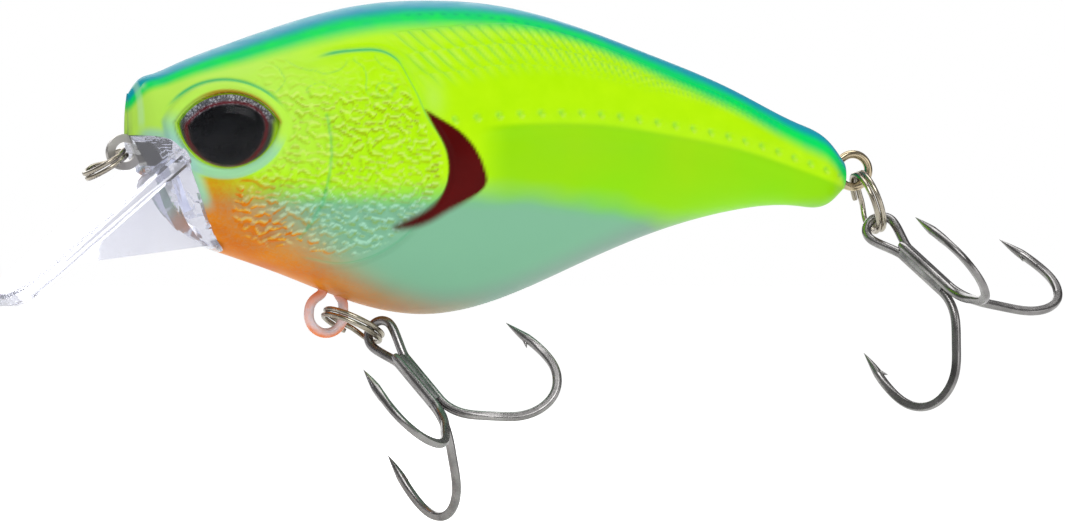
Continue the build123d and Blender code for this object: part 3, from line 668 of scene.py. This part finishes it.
def lacquer():
    """Airbrushed pattern under a clear gloss coat, with painted highlights and painted shade on its relief.
    """
    n = Nodes("airbrushed_lacquer")
    back, green, belly, orange = n.layers("coat_a")
    slash, painted_sheen, dark_lines_and_shade, painted_ridge_shade = n.layers("coat_b")
    fade, facet_highlight, painted_bottom_shade, socket_shade = n.layers("coat_d")
    painted_highlights, shaded_lower_slopes, rim, lid = n.layers("coat_c")
    mottle = n.noise(420.0, 4.0)
    lime = n.mix(n.remap(mottle, 0.3, 0.7), srgb(184, 246, 0), srgb(192, 250, 6))
    # painted shade: the lime turns darker below the ridge along the flank
    colour = n.mix(painted_ridge_shade, lime, n.mix(n.remap(n.noise(90.0), 0.3, 0.7), srgb(160, 226, 0), srgb(146, 228, 2)))
    # painted soft highlight: paler lime over the nose and upper cheek
    colour = n.mix(n.maths("MULTIPLY", painted_sheen, 0.8), colour, srgb(194, 244, 100))
    mint = n.mix(n.remap(n.noise(120.0, 3.0), 0.35, 0.65), srgb(112, 208, 100), srgb(122, 200, 124))
    belly_colour = n.mix(n.remap(belly, 0.40, 0.95), mint, srgb(132, 190, 156))
    # painted shade: darker grey-green along the bottom of the belly
    belly_colour = n.mix(n.maths("MULTIPLY", painted_bottom_shade, 0.7), belly_colour, srgb(132, 154, 146))
    colour = n.mix(n.remap(belly, 0.0, 0.80), colour, belly_colour)
    # painted highlight: pale colour on the upper slopes of the wrinkles and scales
    highlight_share = n.maths("MULTIPLY", painted_highlights, n.remap(belly, -0.3, 0.7, 0.62, 0.80))
    highlight_colour = n.mix(n.remap(belly, 0.1, 0.7), srgb(222, 252, 120), srgb(184, 236, 210))
    colour = n.mix(highlight_share, colour, highlight_colour)
    # painted shade: olive on the lower slopes of the wrinkles
    groove_shade = n.maths("MULTIPLY", shaded_lower_slopes, n.remap(n.noise(260.0), 0.40, 0.62, 0.35, 0.85))
    groove_shade_colour = n.mix(n.remap(belly, 0.2, 0.8), srgb(160, 178, 0), srgb(136, 178, 96))
    colour = n.mix(groove_shade, colour, groove_shade_colour)
    grain = n.noise(2600.0, 2.0, 0.7)
    sprayed = n.maths("MULTIPLY", orange, n.remap(grain, 0.2, 0.75, 0.86, 1.12))
    orange_colour = n.mix(n.remap(n.noise(260.0), 0.35, 0.65), srgb(224, 132, 0), srgb(212, 112, 0))
    # painted highlight: pale yellow on the upper slopes inside the orange
    orange_colour = n.mix(n.maths("MULTIPLY", painted_highlights, 0.6), orange_colour, srgb(236, 206, 90))
    pooled = n.maths("ADD", sprayed, n.maths("MULTIPLY", shaded_lower_slopes, n.maths("MULTIPLY", orange, 1.2)))
    colour = n.mix(n.maths("MINIMUM", pooled, 1.0), colour, orange_colour)
    teal_green = n.mix(n.remap(mottle, 0.35, 0.65), srgb(0, 220, 112), srgb(8, 232, 92))
    colour = n.mix(green, colour, teal_green)
    colour = n.mix(back, colour, n.mix(n.remap(mottle, 0.3, 0.7), srgb(0, 154, 184), srgb(0, 166, 180)))
    # dark green lines, partly painted shade along the scale edges and in the dimples
    colour = n.mix(n.maths("MULTIPLY", dark_lines_and_shade, 0.85), colour, srgb(0, 188, 124))
    colour = n.mix(n.maths("MULTIPLY", rim, 0.85), colour, srgb(152, 214, 178))
    colour = n.mix(n.maths("MULTIPLY", lid, 0.8), colour, srgb(206, 104, 6))
    colour = n.mix(n.maths("MULTIPLY", fade, 0.75), colour, srgb(160, 212, 200))
    # painted highlight along the nose facet's edge
    colour = n.mix(n.maths("MULTIPLY", facet_highlight, 0.75), colour, srgb(196, 246, 196))
    # painted shade: dark olive along the edge of the eye socket
    colour = n.mix(n.maths("MULTIPLY", socket_shade, 0.45), colour, srgb(70, 110, 30))
    red = n.mix(n.remap(n.noise(200.0), 0.3, 0.7), srgb(92, 2, 2), srgb(74, 0, 0))
    colour = n.mix(slash, colour, red)
    n.set(Base_Color=colour, Roughness=n.remap(n.noise(700.0, 5.0), 0.3, 0.7, 0.30, 0.40))
    n.set(Specular_IOR_Level=0.07)
    n.set(Coat_Weight=0.05, Coat_Roughness=0.10, Coat_IOR=1.5)
    orange_peel = n.maths("ADD", n.noise(1500.0, 3.0), n.maths("MULTIPLY", n.noise(5200.0, 2.0), 0.25))
    n.bump(orange_peel, 0.10, 0.00004)
    return n.material


def bare_plastic():
    """Milky moulded plastic where the halves carry no paint; it glows faintly, painted light standing in for
    light passing through the shell.
    """
    n = Nodes("unpainted_plastic")
    flow = n.noise(300.0, 4.0, 0.5, (1.0, 1.0, 3.0))
    n.set(Base_Color=n.mix(n.remap(flow, 0.35, 0.65), srgb(214, 216, 222), srgb(190, 194, 204)))
    n.set(Roughness=n.remap(flow, 0.3, 0.7, 0.30, 0.42), Specular_IOR_Level=0.3)
    # painted light: a faint white-lilac glow standing in for light passing through the shell
    n.shader.inputs["Emission Color"].default_value = srgb(206, 208, 222)
    n.shader.inputs["Emission Strength"].default_value = 0.45
    n.bump(n.noise(2500.0, 3.0), 0.12, 0.00004)
    return n.material


def clear_plastic(name, tint, rough, ior, clarity, gloss):
    """Clear moulded plastic with faint flow marks and fine scratches."""
    n = Nodes(name)
    flow = n.noise(160.0, 3.0, 0.5, (1.0, 2.5, 1.0))
    scratch = n.noise(2200.0, 2.0, 0.6, (1.0, 0.15, 1.0))
    n.set(Base_Color=n.mix(n.remap(flow, 0.35, 0.65), tint, srgb(232, 233, 241)))
    n.set(Roughness=n.remap(scratch, 0.35, 0.75, rough, rough + 0.05))
    n.set(Transmission_Weight=clarity, IOR=ior, Specular_IOR_Level=gloss)
    n.bump(flow, 0.08, 0.0002)
    passing = n.add("ShaderNodeBsdfTransparent")
    passing.inputs["Color"].default_value = (0.92, 0.92, 0.94, 1.0)
    blend = n.add("ShaderNodeMixShader")
    n.link(n.add("ShaderNodeLightPath").outputs["Is Shadow Ray"], blend.inputs["Fac"])
    n.link(n.shader.outputs["BSDF"], blend.inputs[1])
    n.link(passing.outputs["BSDF"], blend.inputs[2])
    n.link(blend.outputs["Shader"], n.tree.nodes["Material Output"].inputs["Surface"])
    return n.material


def metal(name, bright, dark, rough, scale=900.0, stretch=(1.0, 1.0, 1.0), pits=0.25):
    """Plated or drawn metal with streaks, tarnish and small pits."""
    n = Nodes(name)
    streak = n.noise(scale, 4.0, 0.6, stretch)
    patch = n.noise(scale * 0.28, 3.0)
    colour = n.mix(n.remap(patch, 0.35, 0.70), bright, dark)
    colour = n.mix(n.remap(streak, 0.55, 0.80, 0.0, 0.5), colour, dark)
    n.set(Base_Color=colour, Metallic=1.0)
    n.set(Roughness=n.remap(streak, 0.3, 0.7, rough, rough + 0.12))
    n.bump(n.maths("ADD", streak, n.maths("MULTIPLY", n.noise(scale * 5, 2.0), pits)), 0.16, 0.00005)
    return n.material


def painted_wire():
    """Belly wire with pinkish-white overspray and orange on its lower outer side."""
    n = Nodes("oversprayed_wire")
    parts = n.add("ShaderNodeSeparateXYZ")
    n.link(n.place, parts.inputs["Vector"])
    cx, cz = 19.6 * MM, -15.3 * MM
    dx, dz = n.maths("SUBTRACT", parts.outputs["X"], cx), n.maths("SUBTRACT", parts.outputs["Z"], cz)
    radius = n.maths("SQRT", n.maths("ADD", n.maths("MULTIPLY", dx, dx), n.maths("MULTIPLY", dz, dz)))
    outer = n.remap(radius, 1.55 * MM, 2.05 * MM)
    lower = n.remap(parts.outputs["Z"], -15.6 * MM, -16.7 * MM)
    speck = n.noise(1800.0, 4.0, 0.6)
    white = n.mix(n.remap(speck, 0.35, 0.7), srgb(232, 226, 236), srgb(236, 200, 192))
    white = n.mix(n.remap(parts.outputs["Z"], -14.6 * MM, -13.2 * MM), white, srgb(240, 176, 150))
    share = n.maths("MULTIPLY", outer, n.maths("MAXIMUM", lower, 0.35))
    colour = n.mix(n.maths("MULTIPLY", share, n.remap(speck, 0.2, 0.6, 0.8, 1.1)), white, srgb(244, 128, 50))
    n.set(Base_Color=colour, Roughness=n.remap(speck, 0.3, 0.7, 0.22, 0.36))
    n.set(Coat_Weight=0.5, Coat_Roughness=0.08)
    n.bump(speck, 0.2, 0.00008)
    return n.material


def eye_print():
    """Printed foil: black pupil, dark red line, silver field, lime margin, and a dark band of painted shadow
    between pupil and margin.
    """
    n = Nodes("eye_foil_print")
    pupil, line, silver, margin = n.layers("print")
    glitter = n.voronoi(5200.0)
    foil = n.mix(n.remap(glitter, 0.1, 0.6), srgb(196, 198, 198), srgb(84, 86, 88))
    # painted shadow: dark grey band between the pupil and the margin where there is no silver
    colour = n.mix(silver, srgb(52, 56, 50), foil)
    colour = n.mix(margin, colour, srgb(168, 214, 30))
    colour = n.mix(line, colour, srgb(96, 10, 18))
    colour = n.mix(pupil, colour, srgb(5, 6, 7))
    n.set(Base_Color=colour, Roughness=n.remap(n.noise(900.0), 0.3, 0.7, 0.22, 0.34))
    n.set(Metallic=n.maths("MULTIPLY", silver, 0.35), Specular_IOR_Level=0.08)
    n.bump(glitter, 0.08, 0.00003)
    return n.material


LACQUER, BARE_PLASTIC = lacquer(), bare_plastic()
CLEAR = clear_plastic("clear_moulding", srgb(220, 221, 232), 0.02, 1.42, 0.82, 0.5)
LENS = clear_plastic("lens_resin", srgb(248, 249, 250), 0.0, 1.14, 1.0, 0.5)
PRINT = eye_print()
HOOK = metal("smoked_nickel", srgb(166, 164, 163), srgb(112, 110, 110), 0.22, 1100.0)
BRAZE = metal("plated_braze", srgb(158, 157, 157), srgb(104, 103, 104), 0.40, 1500.0, pits=0.6)
RING = metal("nickel_spring_wire", srgb(196, 188, 172), srgb(116, 108, 94), 0.20, 1300.0)
GOLD_WIRE = metal("drawn_stainless", srgb(214, 198, 166), srgb(140, 126, 100), 0.14, 1200.0, (0.4, 1.0, 1.0))
STAMPED = metal("stamped_stainless", srgb(214, 211, 206), srgb(176, 172, 166), 0.34, 500.0,
                (0.3, 1.0, 1.0), 0.05)
CAST = metal("cast_weight", srgb(120, 122, 126), srgb(70, 72, 76), 0.45, 900.0, pits=1.2)
BALL = metal("bearing_steel", srgb(220, 220, 222), srgb(170, 172, 176), 0.08, 2400.0)
WIRE_PAINT = painted_wire()

# ---- eyes --------------------------------------------------------------------------------------------

PUPIL = ((-3.75, -0.2), (-2.8, 0.75), (-1.5, 1.45), (0.0, 1.7), (1.5, 1.55), (2.6, 1.0), (3.25, 0.1),
         (3.2, -1.0), (2.6, -2.3), (1.3, -3.4), (0.0, -3.75), (-1.5, -3.45), (-2.9, -2.4), (-3.55, -1.25))


def disc_grid(outline, rings):
    """Polar grid that fills an outline, as rings of points from the centre out."""
    shares = np.linspace(0, 1, rings + 1)[1:]
    return np.array([outline * s for s in shares])


def eye_piece(side, name, low, profile, rings, material, nodes, shrink, layers=False):
    """Lens or foil: an almond slab whose top follows a profile of the share from its centre."""
    origin, back, up, normal = eye_axes(side)
    outline = almond(-shrink, 60)
    grid = disc_grid(outline, rings)
    count = len(outline)
    points, faces = [], []

    def place(flat, height):
        return origin + back * flat[0] + up * flat[1] + normal * height
    points.append(place((0, 0), low + profile(0.0)))
    for r, ring in enumerate(grid):
        height = low + profile((r + 1) / rings)
        points += [place(p, height) for p in ring]
    floor = len(points)
    points += [place(p, low) for p in outline]
    points.append(place((0, 0), low))
    for i in range(count):
        j = (i + 1) % count
        faces.append([0, 1 + i, 1 + j])
        for r in range(rings - 1):
            a, b = 1 + r * count, 1 + (r + 1) * count
            faces.append([a + i, b + i, b + j, a + j])
        last = 1 + (rings - 1) * count
        faces.append([last + i, floor + i, floor + j, last + j])
        faces.append([floor + i, floor + count, floor + j])
    obj = make_object(name, points, faces, EYE_ANGLE)
    if layers:
        local = coords_of(obj.data) - origin
        u, v = local @ back, local @ up
        pupil = polyline_distance(u, v, closed_curve(PUPIL, 90), True)
        margin = -polyline_distance(u, v, almond(0.0, 60), True)
        silver = smooth(0.0, 0.7, v + 0.12) * smooth(1.35, 0.95, pupil)
        lime = np.maximum(smooth(0.30, 0.12, margin), smooth(0.55, 1.05, pupil) * (1 - silver))
        write_layers(obj.data, "print", (smooth(0.07, -0.07, pupil), bell(pupil - 0.16, 0.15), silver, lime))
    obj.data.materials.append(material)
    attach(obj, "lure_body")
    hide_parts(nodes)
    return obj


def dome_profile(share):
    """Height of the lens above its base."""
    return 0.62 + 1.45 * math.sqrt(max(0.0, 1 - share ** 2.2)) if share < 1 else 0.62


# ---- wire pieces -------------------------------------------------------------------------------------


def unit(v):
    """Direction of a vector, with length 1."""
    v = np.asarray(v, float)
    return v / np.linalg.norm(v)


def sweep(path, radii, segments, axes=None, amounts=None):
    """Closed tube along a path, its section pressed flat across one axis per point by each amount."""
    path, radii = np.asarray(path, float), np.broadcast_to(radii, len(path))
    if axes is None:
        axes, amounts = np.zeros(path.shape), np.zeros(len(path))
    tangents = np.gradient(path, axis=0)
    tangents /= np.linalg.norm(tangents, axis=1, keepdims=True)
    side = unit(np.cross(tangents[0], SWEEP_START))
    angles = np.linspace(0, 2 * math.pi, segments, endpoint=False)
    verts, faces = [], []
    for p, t, r, flat, amount in zip(path, tangents, radii, axes, amounts):
        side = unit(side - t * (side @ t))
        ring = np.cos(angles)[:, None] * side + np.sin(angles)[:, None] * np.cross(t, side)
        axis = flat - t * (flat @ t)
        size = np.linalg.norm(axis)
        if amount > 1e-4 and size > 1e-6:
            axis = axis / size
            along = ring @ axis
            ring = ring + (np.clip(along, amount - 1, 1 - amount) - along)[:, None] * axis
        verts.extend(p + ring * r)
    n = len(path)
    for i in range(n - 1):
        low, high = i * segments, (i + 1) * segments
        for k in range(segments):
            m = (k + 1) % segments
            faces.append([low + k, low + m, high + m, high + k])
    faces.append(list(range(segments))[::-1])
    faces.append([(n - 1) * segments + k for k in range(segments)])
    return verts, faces


def join(parts):
    """Several vertex and face lists as one."""
    verts, faces = [], []
    for v, f in parts:
        base = len(verts)
        verts.extend(v)
        faces.extend([[base + i for i in face] for face in f])
    return verts, faces


def wire_object(name, parts, material, body, nodes):
    """Object from swept parts, riding on its body in place of its CAD node."""
    verts, faces = join(parts)
    obj = make_object(name, verts, faces, WIRE_ANGLE)
    obj.data.materials.append(material)
    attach(obj, body)
    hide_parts(nodes)
    return obj


# any direction that no wire starts along, and the points round each section
SWEEP_START = (0.31, 0.52, 0.79)
RING_SIDES, WIRE_SIDES, BARB_SIDES = 16, 20, 10
RING_WIRE, RING_PITCH, RING_RADIUS = 0.52, 0.56, 2.88
LINE_RING_WIRE, LINE_RING_RADIUS = 0.48, 2.12
RING_GAP, RING_FLATTENING = math.radians(30.0), 0.10
BELLY_LOOP, TAIL_LOOP = np.array((19.6, 0, -15.3)), np.array((71.45, 0, -1.6))
# hanger point, aim, direction of the first turn, radius, wire, step between turns, slack
RINGS = {
    "line": (np.zeros(3), (-0.85, 0.0, -0.53), (0, 1, 0),
             LINE_RING_RADIUS, LINE_RING_WIRE, LINE_RING_WIRE + 0.04, 0),
    "belly": (BELLY_LOOP, (0.747, -0.583, -0.320), (0.432, 0.856, -0.285),
              RING_RADIUS, RING_WIRE, RING_PITCH, 0),
    "tail": (TAIL_LOOP, (0.312, -0.402, -0.861), (0.137, 0.916, -0.377),
             RING_RADIUS, RING_WIRE, RING_PITCH, 0.6),
}
HOOKS = {
    "belly": ((0.430, -0.587, -0.686), (-0.724, -0.678, 0.126)),
    "tail": ((0.505, -0.609, -0.611), (-0.357, -0.792, 0.494)),
}
HOOK_WIRE, SHANK_OFFSET, HOOK_EYE = 0.88, 0.52, 1.39
SHANK_START, SHANK_END, SINGLE_TOP = 3.4, 9.2, 2.9
HOOK_BEND = ((11.4, 1.15), (13.7, 3.3), (15.45, 5.5), (15.95, 7.4), (15.4, 9.4), (13.6, 10.75),
             (11.0, 10.95), (9.2, 10.65))
HOOK_TIP = (6.5, 9.95)


def split_ring(kind):
    """Two flat turns with a step, in slightly flattened spring wire."""
    hanger, aim, tangent, radius, wire, pitch, hang = RINGS[kind]
    aim, along = unit(aim), np.asarray(tangent, float)
    along = unit(along - aim * (along @ aim))
    normal = np.cross(aim, along)
    centre = hanger + aim * (radius + hang)
    across = np.cross(normal, along)
    turns = np.linspace(RING_GAP, 4 * math.pi - RING_GAP, 200)
    share = np.clip((turns - (2 * math.pi - RING_GAP)) / (2 * RING_GAP), 0, 1)
    lift = pitch * (0.5 - 0.5 * np.cos(math.pi * share) - 0.5)
    path = (centre + radius * (np.cos(turns)[:, None] * along + np.sin(turns)[:, None] * across)
            + lift[:, None] * normal)
    radii = np.full(len(path), wire / 2)
    radii[0] = radii[-1] = wire * 0.42
    axes, amounts = np.tile(normal, (len(path), 1)), np.full(len(path), RING_FLATTENING)
    wire_object(kind + "_ring_wire", [sweep(path, radii, RING_SIDES, axes, amounts)], RING, kind + "_ring",
                kind + "_split_ring")


def hook_path(azimuth, count=70):
    """Bend and point of one hook in its own frame: points, radii, forging amounts, outward and the barb."""
    outward = np.array((math.cos(azimuth), math.sin(azimuth), 0))
    knots = [outward * SHANK_OFFSET + np.array((0, 0, SHANK_END))]
    knots += [outward * rho + np.array((0, 0, s)) for s, rho in HOOK_BEND]
    tip = outward * HOOK_TIP[1] + np.array((0, 0, HOOK_TIP[0]))
    heading = unit(tip - knots[-1])
    knots = np.array(knots)
    run = np.concatenate([[0], np.cumsum(np.linalg.norm(np.diff(knots, axis=0), axis=1))])
    bend = spline(run, knots, np.array((0, 0, 1.0)), heading)(np.linspace(0, run[-1], count))
    length = np.linalg.norm(tip - knots[-1])
    steps = np.linspace(0, 1, 22)[1:]
    spear = knots[-1] + heading * length * steps[:, None] + outward * (0.10 * steps[:, None] ** 2)
    radii = np.concatenate([np.full(count, HOOK_WIRE / 2), HOOK_WIRE / 2 * (1 - steps ** 1.35) + 0.012])
    share = np.linspace(0, 1, count)
    forged = 0.26 * smooth(0.12, 0.35, share) * (1 - smooth(0.86, 1.0, share))
    forged = np.concatenate([forged, np.zeros(len(steps))])
    barb_root = knots[-1] + heading * 0.35
    barb_dir = unit(-heading * 0.80 - outward * 0.52)
    reach = np.linspace(0, 1, 9)[:, None]
    barb = (barb_root - outward * 0.10 + barb_dir * 1.15 * reach, 0.26 * (1 - reach[:, 0]) ** 0.8 + 0.012)
    return np.vstack([bend, spear]), radii, forged, outward, barb


def hermite(p0, m0, p1, m1, count):
    """Cubic segment between two points with end directions."""
    t = np.linspace(0, 1, count)[:, None]
    return ((2 * t ** 3 - 3 * t ** 2 + 1) * p0 + (t ** 3 - 2 * t ** 2 + t) * m0
            + (-2 * t ** 3 + 3 * t ** 2) * p1 + (t ** 3 - t ** 2) * m1)


def hook_axes(kind):
    """Origin in the eye, direction of the front hook, sideways, and down the shank."""
    hanger, aim = RINGS[kind][0], unit(RINGS[kind][1])
    axis, front = unit(HOOKS[kind][0]), np.asarray(HOOKS[kind][1], float)
    front = unit(front - axis * (front @ axis))
    return hanger + aim * (2 * RING_RADIUS + RINGS[kind][6]), front, np.cross(axis, front), axis


def moved(points, axes):
    """Treble-frame points in the lure's frame."""
    origin, front, sideways, axis = axes
    return origin + points[:, :1] * front + points[:, 1:2] * sideways + points[:, 2:] * axis


def turned(direction, axes):
    """A direction carried the same way."""
    return direction[0] * axes[1] + direction[1] * axes[2] + direction[2] * axes[3]


def tail_eye():
    """Round wire eye behind the tail, with both legs running into the body."""
    loop, anchor = 1.55, 64.5
    angles = np.linspace(math.radians(128), math.radians(-128), 40)
    bow = np.stack([TAIL_LOOP[0] + loop * np.cos(angles), 0 * angles,
                    TAIL_LOOP[2] + loop * np.sin(angles)], axis=-1)
    upper = hermite(np.array((anchor, 0, TAIL_LOOP[2] + 0.8)), np.array((5.0, 0, 0)), bow[0],
                    np.array((4.0, 0, 4.0 * 0.72)), 24)[:-1]
    lower = hermite(bow[-1], np.array((-4.0, 0, 4.0 * 0.72)), np.array((anchor, 0, TAIL_LOOP[2] - 0.8)),
                    np.array((-5.0, 0, 0)), 24)[1:]
    wire = sweep(np.vstack([upper, bow, lower]), 0.4, WIRE_SIDES)
    wire_object("tail_wire_eye", [wire], GOLD_WIRE, "lure_body", "tail_hanger")


def treble(kind):
    """Both wires of one treble hook."""
    axes = hook_axes(kind)
    left, right = math.radians(120), math.radians(-120)
    setback, half = SHANK_OFFSET * math.cos(left), SHANK_OFFSET * math.sin(left)
    ends = {a: hook_path(a) for a in (left, right)}
    shank = np.linspace(SHANK_END, SHANK_START, 14)[1:-1]
    side_a = np.array([(setback, half, s) for s in shank])
    side_b = np.array([(setback, -half, s) for s in shank])[::-1]
    down = np.array((0, 0, -1.0))
    shoulder_a = hermite(np.array((setback, half, SHANK_START)), down * 2.6 + np.array((0, 0.3, 0)),
                         np.array((setback, HOOK_EYE, 0)), down * 2.6, 18)
    angle = np.linspace(0, math.pi, 34)[1:-1]
    loop = np.stack([np.full(len(angle), setback), HOOK_EYE * np.cos(angle),
                     -HOOK_EYE * np.sin(angle)], axis=-1)
    shoulder_b = shoulder_a[::-1] * np.array((1, -1, 1))
    core = np.vstack([ends[left][0][::-1], side_a, shoulder_a, loop, shoulder_b, side_b, ends[right][0]])
    middle = len(side_a) * 2 + len(shoulder_a) * 2 + len(loop)
    radii = np.concatenate([ends[left][1][::-1], np.full(middle, HOOK_WIRE / 2), ends[right][1]])
    forged_l, forged_r = ends[left][2][::-1], ends[right][2]
    # forging presses each bend across its own plane, so the two bends are swept with their own axes
    cut_a = len(forged_l) + len(side_a) + len(shoulder_a) + len(loop) // 2
    press_l = turned(np.cross(ends[left][3], (0, 0, 1.0)), axes)
    press_r = turned(np.cross(ends[right][3], (0, 0, 1.0)), axes)
    amounts = np.concatenate([forged_l, np.zeros(middle), forged_r])
    world = moved(core, axes)
    flat_axis = np.where((np.arange(len(world)) < cut_a)[:, None], press_l, press_r)
    parts = [sweep(world, radii, WIRE_SIDES, flat_axis, amounts)]
    for a in (left, right):
        barb_path, barb_radii = ends[a][4]
        parts.append(sweep(moved(barb_path, axes), barb_radii, BARB_SIDES))
    wire_object(kind + "_hook_pair", parts, HOOK, kind + "_treble",
                kind + "_treble_double")
    bend, radii, forged, outward, barb = hook_path(0.0)
    stub = np.array([(SHANK_OFFSET, 0, s) for s in np.linspace(SINGLE_TOP, SHANK_END, 16)[:-1]])
    stub_radii = np.full(len(stub), HOOK_WIRE / 2)
    stub_radii[0] = HOOK_WIRE * 0.36
    path = moved(np.vstack([stub, bend]), axes)
    axis = np.repeat(turned(np.cross(outward, (0, 0, 1.0)), axes)[None], len(path), axis=0)
    amounts = np.concatenate([np.zeros(len(stub)), forged])
    single = sweep(path, np.concatenate([stub_radii, radii]), WIRE_SIDES, axis, amounts)
    point = sweep(moved(barb[0], axes), barb[1], BARB_SIDES)
    wire_object(kind + "_hook_front", [single, point], HOOK, kind + "_treble",
                kind + "_treble_single")


# ---- studio ------------------------------------------------------------------------------------------


FLOOR_DROP, FLOOR_REACH, FLOOR_EMISSION, FLOOR_GLOW = 0.0006, 12.0, 0.25, 0.60
WORLD_STRENGTH = 0.20
LIGHT_TARGET = (0.036, 0.0, -0.006)
# name, place, width, height, watts
LAMPS = (
    ("key", (-0.15, -0.75, 0.65), 0.45, 0.45, 3.4),
    ("top", (0.05, 0.05, 0.85), 0.7, 0.5, 3.2),
    ("fill", (0.7, -0.6, 0.1), 0.6, 0.6, 1.6),
    ("rim", (0.1, 0.8, 0.4), 0.6, 0.6, 2.2),
)
CAMERA_YAW, CAMERA_LENS, SENSOR_WIDTH, CAMERA_CLIP_END = math.radians(16.0), 500.0, 36.0, 50.0
VIEW_CENTRE, VIEW_WIDTH = Vector((39.8, 0.0, -10.2)) * MM, 100.57 * MM


def floor():
    """Plain pale floor, bright enough to stay white at its far edge."""
    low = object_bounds()[0][2] - FLOOR_DROP
    corners = [(x * FLOOR_REACH, y * FLOOR_REACH, low) for x, y in ((-1, -1), (1, -1), (1, 1), (-1, 1))]
    mesh = bpy.data.meshes.new("floor")
    mesh.from_pydata(corners, [], [(0, 1, 2, 3)])
    obj = bpy.data.objects.new("floor", mesh)
    bpy.context.scene.collection.objects.link(obj)
    n = Nodes("paper_floor")
    paper = n.mix(n.remap(n.noise(30.0), 0.3, 0.7), (0.95, 0.95, 0.95, 1), (0.97, 0.97, 0.97, 1))
    n.set(Base_Color=paper, Roughness=0.9)
    n.shader.inputs["Emission Color"].default_value = (1, 1, 1, 1)
    n.shader.inputs["Emission Strength"].default_value = FLOOR_EMISSION
    glow = n.add("ShaderNodeEmission")
    glow.inputs["Strength"].default_value = FLOOR_GLOW
    seen = n.add("ShaderNodeMixShader")
    n.link(n.add("ShaderNodeLightPath").outputs["Is Camera Ray"], seen.inputs["Fac"])
    n.link(glow.outputs["Emission"], seen.inputs[2])
    both = n.add("ShaderNodeAddShader")
    n.link(n.shader.outputs["BSDF"], both.inputs[0])
    n.link(seen.outputs["Shader"], both.inputs[1])
    n.link(both.outputs["Shader"], n.tree.nodes["Material Output"].inputs["Surface"])
    mesh.materials.append(n.material)
    obj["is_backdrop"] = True


def lamp(name, place, width, height, power):
    """Soft rectangular light aimed at the lure."""
    light = bpy.data.lights.new(name, "AREA")
    light.shape, light.size, light.size_y, light.energy = "RECTANGLE", width, height, power
    obj = bpy.data.objects.new(name, light)
    obj.location = place
    obj.rotation_euler = (Vector(LIGHT_TARGET) - Vector(place)).to_track_quat("-Z", "Y").to_euler()
    bpy.context.scene.collection.objects.link(obj)


def studio():
    """World, lights and camera."""
    scene = bpy.context.scene
    world = bpy.data.worlds.new("studio")
    world.use_nodes = True
    tree = world.node_tree
    paths = tree.nodes.new("ShaderNodeLightPath")
    dim = tree.nodes["Background"]
    dim.inputs["Strength"].default_value = WORLD_STRENGTH
    dim.inputs["Color"].default_value = (1.0, 1.0, 1.0, 1.0)
    last = dim.outputs["Background"]
    for ray in ("Is Camera Ray", "Is Transmission Ray"):
        bright, seen = tree.nodes.new("ShaderNodeBackground"), tree.nodes.new("ShaderNodeMixShader")
        bright.inputs["Color"].default_value = (1.0, 1.0, 1.0, 1.0)
        tree.links.new(paths.outputs[ray], seen.inputs["Fac"])
        tree.links.new(last, seen.inputs[1])
        tree.links.new(bright.outputs["Background"], seen.inputs[2])
        last = seen.outputs["Shader"]
    tree.links.new(last, tree.nodes["World Output"].inputs["Surface"])
    scene.world = world
    for settings in LAMPS:
        lamp(*settings)
    scene.view_settings.view_transform = "Standard"
    towards = Vector((-math.sin(CAMERA_YAW), -math.cos(CAMERA_YAW), 0.0))
    camera = bpy.data.cameras.new("camera")
    camera.lens, camera.sensor_width, camera.clip_end = CAMERA_LENS, SENSOR_WIDTH, CAMERA_CLIP_END
    obj = bpy.data.objects.new("camera", camera)
    obj.location = VIEW_CENTRE + towards * (VIEW_WIDTH * CAMERA_LENS / SENSOR_WIDTH)
    obj.rotation_euler = (-towards).to_track_quat("-Z", "Y").to_euler()
    scene.collection.objects.link(obj)
    scene.camera = obj


def dress(node, material):
    """Gives a CAD node its material."""
    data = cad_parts[node].data
    data.materials.clear()
    data.materials.append(material)
    data.polygons.foreach_set("material_index", np.zeros(len(data.polygons), np.int32))


for side, word in ((-1, "left"), (1, "right")):
    painted_shell(side, "shell_" + word, "painted_half_" + word)
    eye_piece(side, "eye_print_" + word, -EYE_DEPTH, lambda share: EYE_FOIL - 0.01, 26, PRINT,
              "eye_foil_" + word, 0.02, True)
    eye_piece(side, "eye_lens_" + word, -EYE_DEPTH + EYE_FOIL + 0.01, dome_profile, 18, LENS,
              "eye_dome_" + word, 0.22)
for kind in RINGS:
    split_ring(kind)
for kind in HOOKS:
    treble(kind)
tail_eye()
for node, material in (
        ("diving_lip", CLEAR), ("line_tie_hanger", STAMPED), ("belly_hanger", WIRE_PAINT),
        ("belly_ballast", CAST), ("nose_ballast", CAST), ("belly_treble_braze", BRAZE),
        ("tail_treble_braze", BRAZE), ("rattle_ball_large", BALL), ("rattle_ball_upper", BALL),
        ("rattle_ball_rear", BALL)):
    dress(node, material)
floor()
studio()
